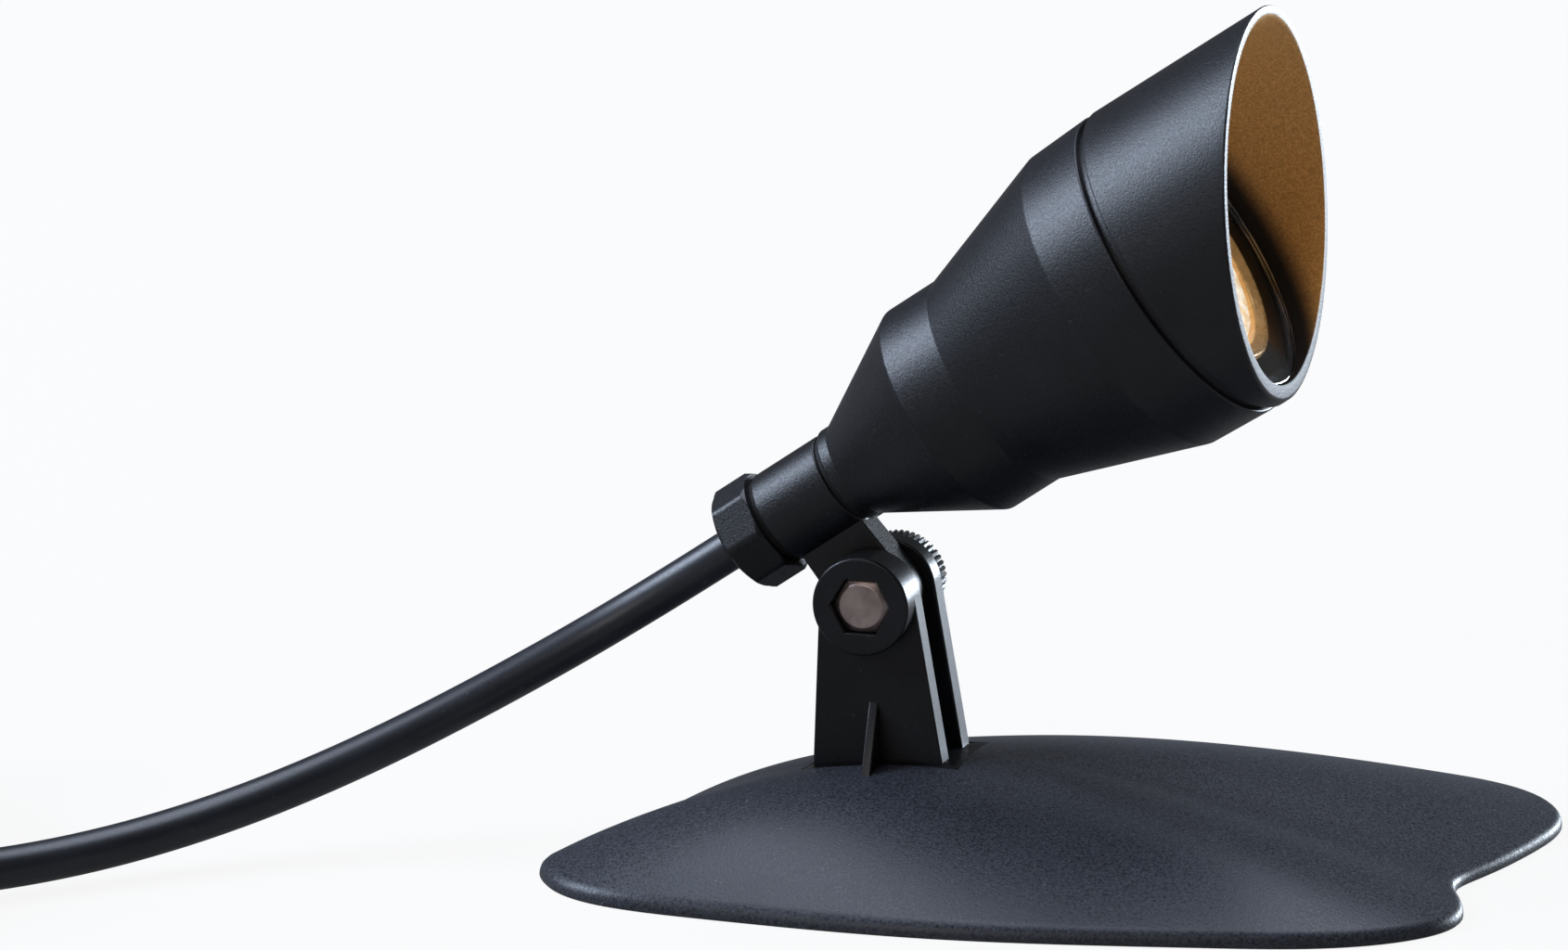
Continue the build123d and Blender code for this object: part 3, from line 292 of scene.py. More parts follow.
# The ring's emission is painted light: a painted glow for the lens's light that the ring catches. Its gold is its own
# colour.
ring_gold = plain_finish(
    "ring_gold", (0.50, 0.30, 0.11), (0.72, 0.48, 0.20), (0.2, 0.34), 1.5, Metallic=0.35,
    Emission_Color=(0.80, 0.44, 0.16, 1.0), Emission_Strength=0.2,
)
sink_metal = metal_finish("sink_metal", (0.5, 0.5, 0.51), (0.72, 0.72, 0.73), (0.3, 0.5), 0.2)

front_pane, pane_shader = bare_finish(
    "front_pane", Base_Color=(0.97, 0.99, 1.0, 1.0), Transmission_Weight=1.0, IOR=1.46
)
fill(pane_shader, Roughness=spread(front_pane, noise(front_pane, 6.0), 0.0, 0.05))

# The lens's emission is painted light: a painted glow in place of the light the lens reflects.
lens_acrylic, lens_shader = bare_finish("lens_acrylic", Emission_Strength=1.2)
pearl = noise(lens_acrylic, 2.4, 2.0)
fill(
    lens_shader,
    Base_Color=ramp(lens_acrylic, pearl, (0.35, (0.62, 0.47, 0.30)), (0.6, (0.86, 0.76, 0.60))),
    Emission_Color=ramp(lens_acrylic, pearl, (0.35, (0.82, 0.62, 0.38)), (0.65, (1.0, 0.94, 0.82))),
    Roughness=spread(lens_acrylic, pearl, 0.12, 0.25),
)
print("other finishes", [m.name for m in (hood_lining, bolt_zinc, ring_gold, front_pane, lens_acrylic)])

# %% [markdown]
# ## Making a piece
# A piece is a list of points in millimetres and a list of faces. Doubles are merged, so that seams and poles close, and
# the normals are turned outwards. Faces that meet at a steep angle stay sharp, and the rest is shaded smooth, with the
# large faces leading, which keeps flats flat beside their rounded edges.

# %% Helpers for pieces
STEEP = math.radians(34)
WELD_M = 1e-7


def link_mesh(name, mesh, *finishes):
    """Puts a mesh in the scene as an object with its finishes."""
    piece = add_object(name, mesh)
    for finish in finishes:
        mesh.materials.append(finish)
    return piece


def close_mesh(name, work):
    """Ends the work on a mesh, which is shaded smooth with its steep edges kept sharp."""
    mesh = bpy.data.meshes.new(name)
    work.to_mesh(mesh)
    work.free()
    mesh.shade_smooth()
    mesh.set_sharp_from_angle(angle=STEEP)
    return mesh


def make_mesh(name, *shells):
    """A mesh from shells of points in millimetres and faces."""
    work = bmesh.new()
    for points, faces in shells:
        corners = [work.verts.new(Vector(point) * MM) for point in points]
        for face in faces:
            work.faces.new([corners[i] for i in face])
    bmesh.ops.remove_doubles(work, verts=work.verts, dist=WELD_M)
    bmesh.ops.recalc_face_normals(work, faces=work.faces)
    return close_mesh(name, work)


def joined(name, *meshes):
    """One mesh from several."""
    work = bmesh.new()
    for mesh in meshes:
        work.from_mesh(mesh)
    return close_mesh(name, work)


def add_piece(name, shape, body, slot, node, *finishes):
    """A piece from a mesh or a list of shells, which rides on its body in place of a CAD node."""
    mesh = shape if isinstance(shape, bpy.types.Mesh) else make_mesh(name, *shape)
    piece = link_mesh(name, mesh, *finishes)
    shading = piece.modifiers.new("even_shading", "WEIGHTED_NORMAL")
    shading.keep_sharp = True
    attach(piece, body)
    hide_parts(node)
    print(piece.name, "has", len(mesh.polygons), "faces and rides on", body)
    return piece


def round_angles(steps):
    """The angles of even steps round a circle."""
    return [2 * math.pi * i / steps for i in range(steps)]


def net(rows, closed_rows=False):
    """A shell through rows of points, each row a closed ring; the rows may close too."""
    points = [point for row in rows for point in row]
    count = len(rows[0])
    faces = []
    for i in range(len(rows) if closed_rows else len(rows) - 1):
        j = (i + 1) % len(rows)
        for k in range(count):
            m = (k + 1) % count
            faces.append((i * count + k, i * count + m, j * count + m, j * count + k))
    if not closed_rows:
        faces.append(tuple(range(count)))
        faces.append(tuple(range((len(rows) - 1) * count, len(rows) * count)))
    return points, faces


def rounded(corners, step=18):
    """Rounds a closed outline: each corner is (x, y, radius), and the arcs turn by the given degrees a step."""
    points = []
    for before, here, after in zip(corners[-1:] + corners[:-1], corners, corners[1:] + corners[:1]):
        corner = Vector(here[:2])
        way_in = (corner - Vector(before[:2])).normalized()
        way_out = (Vector(after[:2]) - corner).normalized()
        turn = way_in.angle(way_out)
        if here[2] == 0:
            points.append(corner)
            continue
        reach = here[2] * math.tan(turn / 2)
        steps = max(2, math.ceil(math.degrees(turn) / step))
        for i in range(steps + 1):
            t = i / steps
            points.append(corner - way_in * reach * (1 - t) ** 2 + way_out * reach * t ** 2)
    return points


print("piece helpers ready")

# %% [markdown]
# ## The head's own frame
# Most of the head is turned: a profile of stations along the light's axis and radii, spun round it. Blender's Spin or a
# Screw modifier could do it, but the hood needs its rows cut on a slant, so a small function of station, radius and
# angle places every point.

# %% Head frame
HEAD_UP = Vector((-math.sin(HEAD_TILT), 0, math.cos(HEAD_TILT)))
ACROSS = Vector((0, 1, 0))
AXIS_OFFSET = 17.55
HEAD_MIDDLE = PIVOT + HEAD_UP * AXIS_OFFSET
STEPS = 144
SMALL_STEPS = 96


def on_head(s, r, angle):
    """A point at station s and radius r; angle 0 is up and a quarter turn is +Y."""
    return HEAD_MIDDLE + AIM * s + (HEAD_UP * math.cos(angle) + ACROSS * math.sin(angle)) * r


def on_bolt(y, r, angle):
    """A point on the pivot bolt: y along it, and angle 0 is +X."""
    return PIVOT + Vector((r * math.cos(angle), y, r * math.sin(angle)))


def turned(profile, place, steps=STEPS):
    """Spins a closed profile of (station, radius) points."""
    angles = round_angles(steps)
    return net([[place(s, r, angle) for angle in angles] for s, r in profile], closed_rows=True)


print("head middle", [round(x, 2) for x in HEAD_MIDDLE])

# %% [markdown]
# ## The cable
# The cable is one fixed length of rubber flex. It leaves the gland straight, falls to the ground in one bend, and the
# length that is put away lies in a tied coil. Its line is a NURBS spline through the route's points, with the coil's
# turns on the same spline. A bevel on the curve would give a tube at once, but the tube has to bend with the head, so
# it is a mesh that follows the spline's own points.

# %% The cable's line
CABLE_D = 6.3
EXIT = on_head(-16.5, 0, 0)
COIL_MIDDLE = FOOT + Vector((-177.5, -67.6, 0))
COIL_START = math.radians(-38.5)
COIL_INNER = 28.0
COIL_OUTER = 47.5
COIL_STEP = 7.8
COIL_CLIMB = 7.2
COIL_FLOOR = 4.75
COIL_TURNS = 2.5
COIL_LAP = 3.0
COIL_TOTAL = 9.53
LAST_LAYER = 3
END_RISE = 1.95
END_LEAD = 0.25
TURN_POINTS = 16
NEARBY = 0.002


def ease(share):
    """A smooth rise from 0 to 1."""
    return (1 - math.cos(math.pi * min(max(share, 0), 1))) / 2


def coil_place(turn, swell=1.0):
    """A point of the coil, counted in turns; the layers spiral in and out by turns, and climb as they reverse."""
    layer = min(int(turn / COIL_LAP), LAST_LAYER)
    along = turn - layer * COIL_LAP
    spiral = COIL_STEP * min(along, COIL_TURNS)
    radius = (COIL_OUTER - spiral if layer % 2 == 0 else COIL_INNER + spiral) * swell
    rise = COIL_CLIMB * (layer + ease((along - COIL_TURNS) / (COIL_LAP - COIL_TURNS)))
    rise += END_RISE * ease(1 - (COIL_TOTAL - turn) / END_LEAD)
    angle = COIL_START - 2 * math.pi * turn
    return COIL_MIDDLE + Vector((radius * math.cos(angle), radius * math.sin(angle), COIL_FLOOR + rise))


coil_way = (coil_place(NEARBY) - coil_place(0)).normalized()
end_way = (coil_place(COIL_TOTAL) - coil_place(COIL_TOTAL - NEARBY)).normalized()
lead_in = coil_place(0) - coil_way * CABLE_D
connector_start = coil_place(COIL_TOTAL) + end_way * CABLE_D
swell = 1 / math.cos(math.pi / TURN_POINTS)

route = [EXIT, EXIT - AIM * 17.0]
route += [FOOT + Vector(p) for p in ((-56.5, -11, 23.6), (-75, -25.4, 13.9), (-92, -41, 7.4), (-107.5, -59, 4.6))]
route += [lead_in - coil_way * 20.0, lead_in]
route += [coil_place(i / TURN_POINTS, swell) for i in range(int(COIL_TOTAL * TURN_POINTS) + 1)]
route += [coil_place(COIL_TOTAL), connector_start]

line = bpy.data.curves.new("cable_line", "CURVE")
line.dimensions = "3D"
line.resolution_u = 8
spline = line.splines.new("NURBS")
spline.points.add(len(route) - 1)
for point, place in zip(spline.points, route):
    point.co = (*(place * MM), 1.0)
spline.order_u = 3
spline.use_endpoint_u = True
line_object = bpy.data.objects.new("cable_line", line)
line_mesh = bpy.data.meshes.new_from_object(line_object)
path = [vertex.co.copy() for vertex in line_mesh.vertices]
bpy.data.objects.remove(line_object)
bpy.data.meshes.remove(line_mesh)
cable_length = sum((b - a).length for a, b in zip(path, path[1:]))
print("cable line", len(path), "points,", round(cable_length, 3), "m")

# %% The cable's tube
SIDES = 28


def tube_rows(points, radius):
    """Rings along a line of points, without twist."""
    side = (points[1] - points[0]).orthogonal().normalized()
    ring = round_angles(SIDES)
    rows = []
    for i, point in enumerate(points):
        way = (points[min(i + 1, len(points) - 1)] - points[max(i - 1, 0)]).normalized()
        side = (side - way * side.dot(way)).normalized()
        other = way.cross(side)
        rows.append([point + (side * math.cos(a) + other * math.sin(a)) * radius for a in ring])
    return rows


path_mm = [point / MM for point in path]
cable = link_mesh("cable_sheath", make_mesh("cable_sheath", net(tube_rows(path_mm, CABLE_D / 2))), cable_rubber)
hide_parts("cable", "cable_coil")
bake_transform(cable)
print("cable tube", len(cable.data.polygons), "faces")

# %% [markdown]
# ## The base
# The base is one thin moulding. It falls from a crest to a rim that is shaped like a leaf, with a notch on the side the
# light points to, a ridge before the notch and a valley to it. It could be sculpted, but its height follows a rule: the
# share of the way from the crest to the rim, raised to a power. So rays find the rim's reach in each direction, and
# rings of points follow the rule down to a rounded edge.

# %% The dome's rule
CREST = FOOT + Vector((16.0, -0.6, 0))
CREST_HEIGHT = 16.3
RIM_HEIGHT = 2.0
BASE_WALL = 2.2
DOME_POWER = 1.65
RIDGES = ((-20.0, 20.0, 0.45), (5.0, 17.0, -0.75), (195.0, 55.0, 0.9))
DOME_STEPS = 288
REACH_BLEND = 8
RAY_START = 150


def rim_reach(angle):
    """How far the rim is from the crest in one direction."""
    way = Vector((math.cos(angle), math.sin(angle), 0))
    start = (CREST + way * RAY_START + Vector((0, 0, RIM_HEIGHT / 2))) * MM
    hit, place, _, _ = nodes["base_shell"].ray_cast(start, -way)
    return (place / MM - CREST).to_2d().length if hit else 0.0


def dome_height(nearness, angle, even):
    """Height of the dome at a share of the way from its crest to its rim, which is evened out near the crest."""
    share = nearness / (even + (1 - even) * nearness ** 2)
    power = DOME_POWER
    for direction, width, gain in RIDGES:
        off = (math.degrees(angle) - direction + 180) % 360 - 180
        power += nearness * gain * math.exp(-((off / width) ** 2))
    return RIM_HEIGHT + (CREST_HEIGHT - RIM_HEIGHT) * (1 - share ** power)


dome_angles = round_angles(DOME_STEPS)
reaches = [rim_reach(angle) for angle in dome_angles]
evens = []
for i, reach in enumerate(reaches):
    near = [reaches[(i + k) % DOME_STEPS] for k in range(-REACH_BLEND, REACH_BLEND + 1)]
    evens.append(sum(near) / len(near) / reach)
rim = list(zip(reaches, dome_angles, evens))


def dome_at(x, y):
    """Height of the dome over a point, from the foot of the pivot."""
    off = FOOT + Vector((x, y, 0)) - CREST
    angle = math.atan2(off.y, off.x) % (2 * math.pi)
    reach, even = (np.interp(angle, dome_angles, values, period=2 * math.pi) for values in (reaches, evens))
    return dome_height(off.to_2d().length / reach, angle, even)


print("rim reaches from", round(min(reaches), 1), "to", round(max(reaches), 1), "mm")

# %% The base shell
RIM_ROUND = 1.5
EDGE_CHAMFER = 0.3
DOME_RINGS = 44
UNDER_CLEARANCE = 0.4


def base_rows():
    """Rings of the shell: down the dome, round the rim, under it and up the inside."""
    rows = []
    shares = [i / DOME_RINGS for i in range(DOME_RINGS - 1)]
    for share in shares:
        rows.append([(share * reach, dome_height(share, a, even)) for reach, a, even in rim])
    for t in (0.0, 0.12, 0.28, 0.44, 0.6, 0.76, 0.9, 1.0):
        row = []
        for reach, a, even in rim:
            start = Vector((reach - RIM_ROUND, dome_height(1 - RIM_ROUND / reach, a, even)))
            corner = Vector((reach, RIM_HEIGHT))
            end = Vector((reach, RIM_HEIGHT - RIM_ROUND))
            row.append(start * (1 - t) ** 2 + corner * 2 * t * (1 - t) + end * t ** 2)
        rows.append(row)
    for inset, height in ((0, EDGE_CHAMFER), (EDGE_CHAMFER, 0), (BASE_WALL, 0)):
        rows.append([(reach - inset, height) for reach in reaches])
    for share in reversed(shares[:-2]):
        row = []
        for reach, a, even in rim:
            inner = min(share * reach, reach - BASE_WALL)
            row.append((inner, max(dome_height(inner / reach, a, even) - BASE_WALL, UNDER_CLEARANCE)))
        rows.append(row)
    return [
        [CREST + Vector((r * math.cos(a), r * math.sin(a), z)) for (r, z), a in zip(row, dome_angles)] for row in rows
    ]


shell_mesh = make_mesh("base_moulding", net(base_rows()))
print("shell", len(shell_mesh.polygons), "faces")

# %% [markdown]
# ## The socket in the base
# The fork's foot stands in a socket, with an open joint round it. A Boolean cuts the opening through the shell, and a
# tray closes it from below. The cut is made once and kept as a plain mesh.

# %% Cut the socket
PLUG = (-9.9, 14.8, 8.2)
PLUG_BOTTOM = 7.0
JOINT_GAP = 0.08
SOCKET_CORNER = 0.6
CUT_LEVELS = (5.0, 30.0)
TRAY_WALL = 2.2
TRAY_FLOOR = 2.4
TRAY_TOP = 10.5
TRAY_CHAMFER = 0.4


def box_outline(grow, corner):
    """The outline of the fork's foot, grown on all sides."""
    rear, front, half = PLUG[0] - grow, PLUG[1] + grow, PLUG[2] + grow
    return rounded([(rear, -half, corner), (front, -half, corner), (front, half, corner), (rear, half, corner)])


def level(outline, z):
    """An outline laid flat at a height."""
    return [FOOT + Vector((p.x, p.y, z)) for p in outline]


opening = box_outline(JOINT_GAP, SOCKET_CORNER)
cutter = link_mesh("socket_cutter", make_mesh("socket_cutter", net([level(opening, z) for z in CUT_LEVELS])))
shell = link_mesh("shell_blank", shell_mesh)
cut = shell.modifiers.new("socket", "BOOLEAN")
cut.operation = "DIFFERENCE"
cut.solver = "EXACT"
cut.object = cutter
shell_cut = bpy.data.meshes.new_from_object(shell.evaluated_get(bpy.context.evaluated_depsgraph_get()))
bpy.data.objects.remove(shell)
bpy.data.objects.remove(cutter)

tray_outer = box_outline(JOINT_GAP + TRAY_WALL, 1.2)
tray_inner = box_outline(JOINT_GAP + TRAY_WALL - TRAY_CHAMFER, 1.0)
tray_rows = [
    level(tray_outer, TRAY_TOP), level(tray_outer, PLUG_BOTTOM - TRAY_FLOOR + TRAY_CHAMFER),
    level(tray_inner, PLUG_BOTTOM - TRAY_FLOOR),
]
base_mesh = joined("base_moulding", shell_cut, make_mesh("tray", net(tray_rows)))
add_piece("base_moulding", base_mesh, "base", "black_plastic", "base_shell", base_plastic)

# %% [markdown]
# ## The fork
# The fork is two ears on a foot that is let into the base. The near ear has a boss that takes the bolt's head, and a
# thin gusset stiffens each ear. Each part is a slab: an outline carried through levels, set in at the two ends so that
# its edges are rounded. Overlapping slabs make one moulding.

# %% Slabs


def inset(outline, amount):
    """Moves a closed outline inwards along its own normals."""
    moved = []
    for before, here, after in zip(outline[-1:] + outline[:-1], outline, outline[1:] + outline[:1]):
        way = (after - before).normalized()
        moved.append(here + Vector((-way.y, way.x)) * amount)
    return moved


def slab(outline, low, high, edge, place):
    """A plate with rounded edges: place puts a point of the outline at a level. The outline runs anticlockwise."""
    rows = []
    for level_at, side in ((low, 1), (high, -1)):
        turns = (0, 30, 60, 90) if side == 1 else (90, 60, 30, 0)
        for turn in turns:
            angle = math.radians(turn)
            drawn = inset(outline, edge * (1 - math.sin(angle)))
            rows.append([place(p.x, p.y, level_at + side * edge * (1 - math.cos(angle))) for p in drawn])
    return net(rows)


def hull(centre, radius, left, right, steps=40):
    """An outline round a circle and the foot line under it, anticlockwise."""
    centre, left, right = Vector(centre), Vector(left), Vector(right)

    def touch(point, side):
        off = point - centre
        return math.atan2(off.y, off.x) + side * math.acos(radius / off.length)

    start, end = touch(right, 1), touch(left, -1)
    while end < start:
        end += 2 * math.pi
    arc = [start + (end - start) * i / steps for i in range(steps + 1)]
    return [left, right] + [centre + Vector((math.cos(a), math.sin(a))) * radius for a in arc]


print("slab helpers ready")

# %% The fork bracket
EAR_GAP = 6.6
EAR_THICK = 3.66
EAR_RADIUS = 7.55
EAR_REAR = -8.7
EAR_FRONT = 13.6
EAR_OUTER = EAR_GAP / 2 + EAR_THICK
BOSS_FACE = EAR_OUTER + 3.33
BOLT_HEX = 8.0
SOFT_EDGE = 0.35
EAR_LEAN = 2.45 / (PIVOT.z - PLUG_BOTTOM)
GUSSET_TOE = 6.2
GUSSET_ROOT = -1.5
GUSSET_TOP = 24.6
GUSSET_LOW = 9.0
GUSSET_HALF = 0.75
GUSSET_EDGE = 0.25
GUSSET_LIFT = 0.15
FOOT_EDGE = 0.15


def beside_pivot(x, z, y):
    """A point beside the pivot, from the bolt's middle."""
    return PIVOT + Vector((x, y, z))


def hex_radius(angle, flats):
    """Radius of a hexagon with a corner at angle 0."""
    return flats / 2 / math.cos(angle % (math.pi / 3) - math.pi / 6)


ear_foot = PLUG_BOTTOM - PIVOT.z
ear = hull((0, 0), EAR_RADIUS, (EAR_REAR, ear_foot), (EAR_FRONT, ear_foot))
shells = [
    slab(ear, -EAR_OUTER, -EAR_GAP / 2, SOFT_EDGE, beside_pivot),
    slab(ear, EAR_GAP / 2, EAR_OUTER, SOFT_EDGE, beside_pivot),
]

ring_angles = round_angles(STEPS)
boss_rows = []
for y, r in rounded([(-EAR_OUTER + 1, EAR_RADIUS, 0), (-BOSS_FACE, EAR_RADIUS, 0.5), (-BOSS_FACE, 5.6, 0)])[:-1]:
    boss_rows.append([on_bolt(y, r, a) for a in ring_angles])
for y, grow in ((-BOSS_FACE, 0.5), (-BOSS_FACE + 0.12, 0.3), (-BOSS_FACE + 0.4, 0.24), (-EAR_OUTER + 1, 0.24)):
    boss_rows.append([on_bolt(y, hex_radius(a, BOLT_HEX + grow), a) for a in ring_angles])
shells.append(net(boss_rows, closed_rows=True))


def gusset(side):
    """A thin gusset from an ear's outer face down to the foot."""
    toe_top = dome_at(EAR_LEAN * (PIVOT.z - CREST_HEIGHT), side * (EAR_OUTER + GUSSET_TOE)) + GUSSET_LIFT
    shape = [
        (GUSSET_ROOT, GUSSET_TOP), (GUSSET_ROOT, GUSSET_LOW), (GUSSET_TOE, GUSSET_LOW), (GUSSET_TOE, toe_top),
        (0.0, GUSSET_TOP),
    ]
    return slab(
        [Vector(p) for p in shape], -GUSSET_HALF, GUSSET_HALF, GUSSET_EDGE,
        lambda out, z, x: FOOT + Vector((EAR_LEAN * (PIVOT.z - z) + x, side * (EAR_OUTER + out), z)),
    )


shells += [gusset(-1), gusset(1)]

foot_outline = box_outline(0.0, SOCKET_CORNER)
foot_middle = Vector(((PLUG[0] + PLUG[1]) / 2, 0))
foot_rows = [level(foot_outline, PLUG_BOTTOM)]
foot_rows.append([FOOT + Vector((p.x, p.y, dome_at(p.x, p.y) - FOOT_EDGE)) for p in foot_outline])
for share in (1.0, 0.8, 0.6, 0.4, 0.2, 0.0):
    drawn = [foot_middle + (p - foot_middle) * share for p in inset(foot_outline, FOOT_EDGE)]
    foot_rows.append([FOOT + Vector((p.x, p.y, dome_at(p.x, p.y))) for p in drawn])
shells.append(net(foot_rows))
add_piece("fork_moulding", shells, "base", "black_plastic", "fork_bracket", fork_plastic)

# %% [markdown]
# ## The pivot bolt, washer and knob
# The bolt's hex head is sunk in the boss. Its top is turned, so the flats end in shallow arcs, which come from
# limiting each ring of a hexagon to a growing circle. Its thread shows in the knob's recess. The knob's knurl is one
# rib repeated round a circle, which is work for Geometry Nodes.

# %% The bolt
HEAD_TOP = 0.5 - BOSS_FACE
HEAD_SEAT = HEAD_TOP + 3.4
WASHER_FACE = EAR_OUTER + 0.5
KNOB_FACE = WASHER_FACE + 3.2
KNOB_FLOOR = KNOB_FACE - 0.6
BOLT_TIP = KNOB_FLOOR + 1.0
BOLT_RADIUS = 2.5
TIP_RADIUS = 1.95
HEX_PLAY = 0.04
HEX_CORNER = 4.55
PITCH = 0.8
THREAD_DEPTH = 0.4
THREAD_STEPS = 52

bolt_hex = [min(hex_radius(a, BOLT_HEX - HEX_PLAY), HEX_CORNER) for a in ring_angles]
bolt_rings = [(HEAD_TOP, [r] * STEPS) for r in (0.0, 1.6, 3.1)]
for depth in (0.0, 0.07, 0.16, 0.26, 0.36, 0.46, 0.56, 0.66, 0.72):
    bolt_rings.append((HEAD_TOP + depth, [min(r, 3.30 + 1.8 * depth) for r in bolt_hex]))
bolt_rings += [(HEAD_SEAT, bolt_hex), (HEAD_SEAT, [BOLT_RADIUS] * STEPS), (EAR_OUTER, [BOLT_RADIUS] * STEPS)]
for i in range(THREAD_STEPS + 1):
    y = EAR_OUTER + (BOLT_TIP - EAR_OUTER) * i / THREAD_STEPS
    waves = [abs((y / PITCH + a / (2 * math.pi)) % 1 - 0.5) * 2 for a in ring_angles]
    bolt_rings.append((y, [min(BOLT_RADIUS - THREAD_DEPTH * wave, TIP_RADIUS + (BOLT_TIP - y)) for wave in waves]))
bolt_rings.append((BOLT_TIP, [0.0] * STEPS))
bolt_rows = [[on_bolt(y, r, a) for r, a in zip(ring, ring_angles)] for y, ring in bolt_rings]
add_piece("pivot_bolt_turned", [net(bolt_rows)], "base", "zinc_steel", "pivot_bolt", bolt_zinc)

# %% A tree of Geometry Nodes for ribs round a circle
RIB_POINTS = 9
RIB_SIDES = 6
RIB_TIP = 0.25


def new_tree(name, *numbers):
    """A tree that takes the numbers named, a count and a finish, and the outputs that give them."""
    tree = bpy.data.node_groups.new(name, "GeometryNodeTree")
    tree.interface.new_socket("Geometry", in_out="OUTPUT", socket_type="NodeSocketGeometry")
    kinds = {"Count": "NodeSocketInt", "Finish": "NodeSocketMaterial"}
    for socket in (*numbers, *kinds):
        tree.interface.new_socket(socket, in_out="INPUT", socket_type=kinds.get(socket, "NodeSocketFloat"))
    return tree, add_node(tree, "NodeGroupInput").outputs


def repeat_on(tree, points, shape, finish, **placing):
    """Ends a tree: a shape is repeated on points, as real geometry with a finish."""
    repeat = add_node(tree, "GeometryNodeInstanceOnPoints", Points=points, Instance=shape, **placing)
    real = add_node(tree, "GeometryNodeRealizeInstances", Geometry=repeat)
    painted = add_node(tree, "GeometryNodeSetMaterial", Geometry=real, Material=finish)
    add_node(tree, "NodeGroupOutput", Geometry=painted)
    return tree


def ribs_tree():
    """Ribs round a circle, along the local Z axis, tapered at both ends."""
    tree, given = new_tree("rib_ring", "Ring Radius", "Rib Radius", "Rib Length", "End Taper")
    half = maths(tree, "MULTIPLY", given["Rib Length"], 0.5)
    low = add_node(tree, "ShaderNodeCombineXYZ", Z=maths(tree, "MULTIPLY", half, -1.0))
    high = add_node(tree, "ShaderNodeCombineXYZ", Z=half)
    stick = add_node(tree, "GeometryNodeCurvePrimitiveLine", Start=low, End=high)
    stepped = add_node(tree, "GeometryNodeResampleCurve", Curve=stick, Count=RIB_POINTS)
    along = add_node(tree, "GeometryNodeSplineParameter")
    near_end = maths(tree, "MINIMUM", along, maths(tree, "SUBTRACT", 1.0, along))
    thick = maths(tree, "ADD", maths(tree, "MULTIPLY", near_end, given["End Taper"]), RIB_TIP)
    thick = maths(tree, "MINIMUM", thick, 1.0)
    tapered = add_node(tree, "GeometryNodeSetCurveRadius", Curve=stepped, Radius=thick)
    section = add_node(tree, "GeometryNodeCurvePrimitiveCircle", Resolution=RIB_SIDES, Radius=given["Rib Radius"])
    rib = add_node(tree, "GeometryNodeCurveToMesh", Curve=tapered, Profile_Curve=section, Fill_Caps=True)
    circle = add_node(tree, "GeometryNodeMeshCircle", Vertices=given["Count"], Radius=given["Ring Radius"])
    turn = maths(tree, "DIVIDE", 2 * math.pi, given["Count"])
    angle = maths(tree, "MULTIPLY", add_node(tree, "GeometryNodeInputIndex"), turn)
    spin = add_node(tree, "ShaderNodeCombineXYZ", Z=angle)
    return repeat_on(tree, circle, rib, given["Finish"], Rotation=spin)


def run_tree(tree, **values):
    """Evaluates a tree with its inputs set and returns a plain mesh."""
    holder = add_object("holder", bpy.data.meshes.new("holder"))
    modifier = holder.modifiers.new("tree", "NODES")
    modifier.node_group = tree
    for item in tree.interface.items_tree:
        if item.in_out == "INPUT":
            modifier[item.identifier] = values[item.name.replace(" ", "_")]
    depsgraph = bpy.context.evaluated_depsgraph_get()
    mesh = bpy.data.meshes.new_from_object(holder.evaluated_get(depsgraph))
    holder.modifiers.remove(modifier)
    bpy.data.objects.remove(holder)
    return mesh


rib_ring = ribs_tree()
print("rib tree has", len(rib_ring.nodes), "nodes")

# %% The knob, its insert and the washer
knob_profile = rounded([
    (WASHER_FACE, 4.2, 0), (WASHER_FACE, 6.5, 0.2), (WASHER_FACE + 0.5, 6.9, 0.3), (KNOB_FACE - 0.5, 6.9, 0.3),
    (KNOB_FACE, 6.4, 0.2), (KNOB_FACE, 5.5, 0.15), (KNOB_FLOOR, 5.4, 0.15), (KNOB_FLOOR, 4.2, 0),
])
knurl = run_tree(
    rib_ring, Ring_Radius=6.85 * MM, Rib_Radius=0.4 * MM, Rib_Length=2.9 * MM, End_Taper=4.0, Count=48,
    Finish=head_plastic,
)
stand = Matrix.Rotation(math.radians(90), 4, "X")
knurl.transform(Matrix.Translation((PIVOT + Vector((0, (WASHER_FACE + KNOB_FACE) / 2, 0))) * MM) @ stand)
knob_mesh = joined("knob_moulding", make_mesh("knob_body", turned(knob_profile, on_bolt)), knurl)
add_piece("knob_moulding", knob_mesh, "knob", "black_plastic", "knob_grip", head_plastic)

insert_profile = rounded([
    (WASHER_FACE, 2.6, 0.1), (WASHER_FACE, 4.18, 0.1), (KNOB_FLOOR, 4.18, 0.2), (KNOB_FLOOR, 2.6, 0.3),
])
bush = turned(insert_profile, on_bolt, SMALL_STEPS)
add_piece("knob_bush", [bush], "knob", "brass", "knob_insert", turned_brass)

washer_profile = rounded([
    (EAR_OUTER, 2.6, 0.1), (EAR_OUTER, 6.0, 0.15), (WASHER_FACE, 6.0, 0.15), (WASHER_FACE, 2.6, 0.1),
])
washer = turned(washer_profile, on_bolt, SMALL_STEPS)
add_piece("knob_washer", [washer], "washer", "zinc_steel", "pivot_washer", bolt_zinc)

# %% [markdown]
# ## The knuckle and the gland
# The head is carried by a short neck with a lug between the ears. The lug is a slab in the head's own upright plane,
# and the neck is turned. Behind it, the gland nut grips the cable. It has eight flats with turned ends, made in the
# same way as the bolt's head.

# %% The knuckle


def on_lug(s, r, y):
    """A point of the lug, in the head's upright plane."""
    return HEAD_MIDDLE + AIM * s + HEAD_UP * r + ACROSS * y


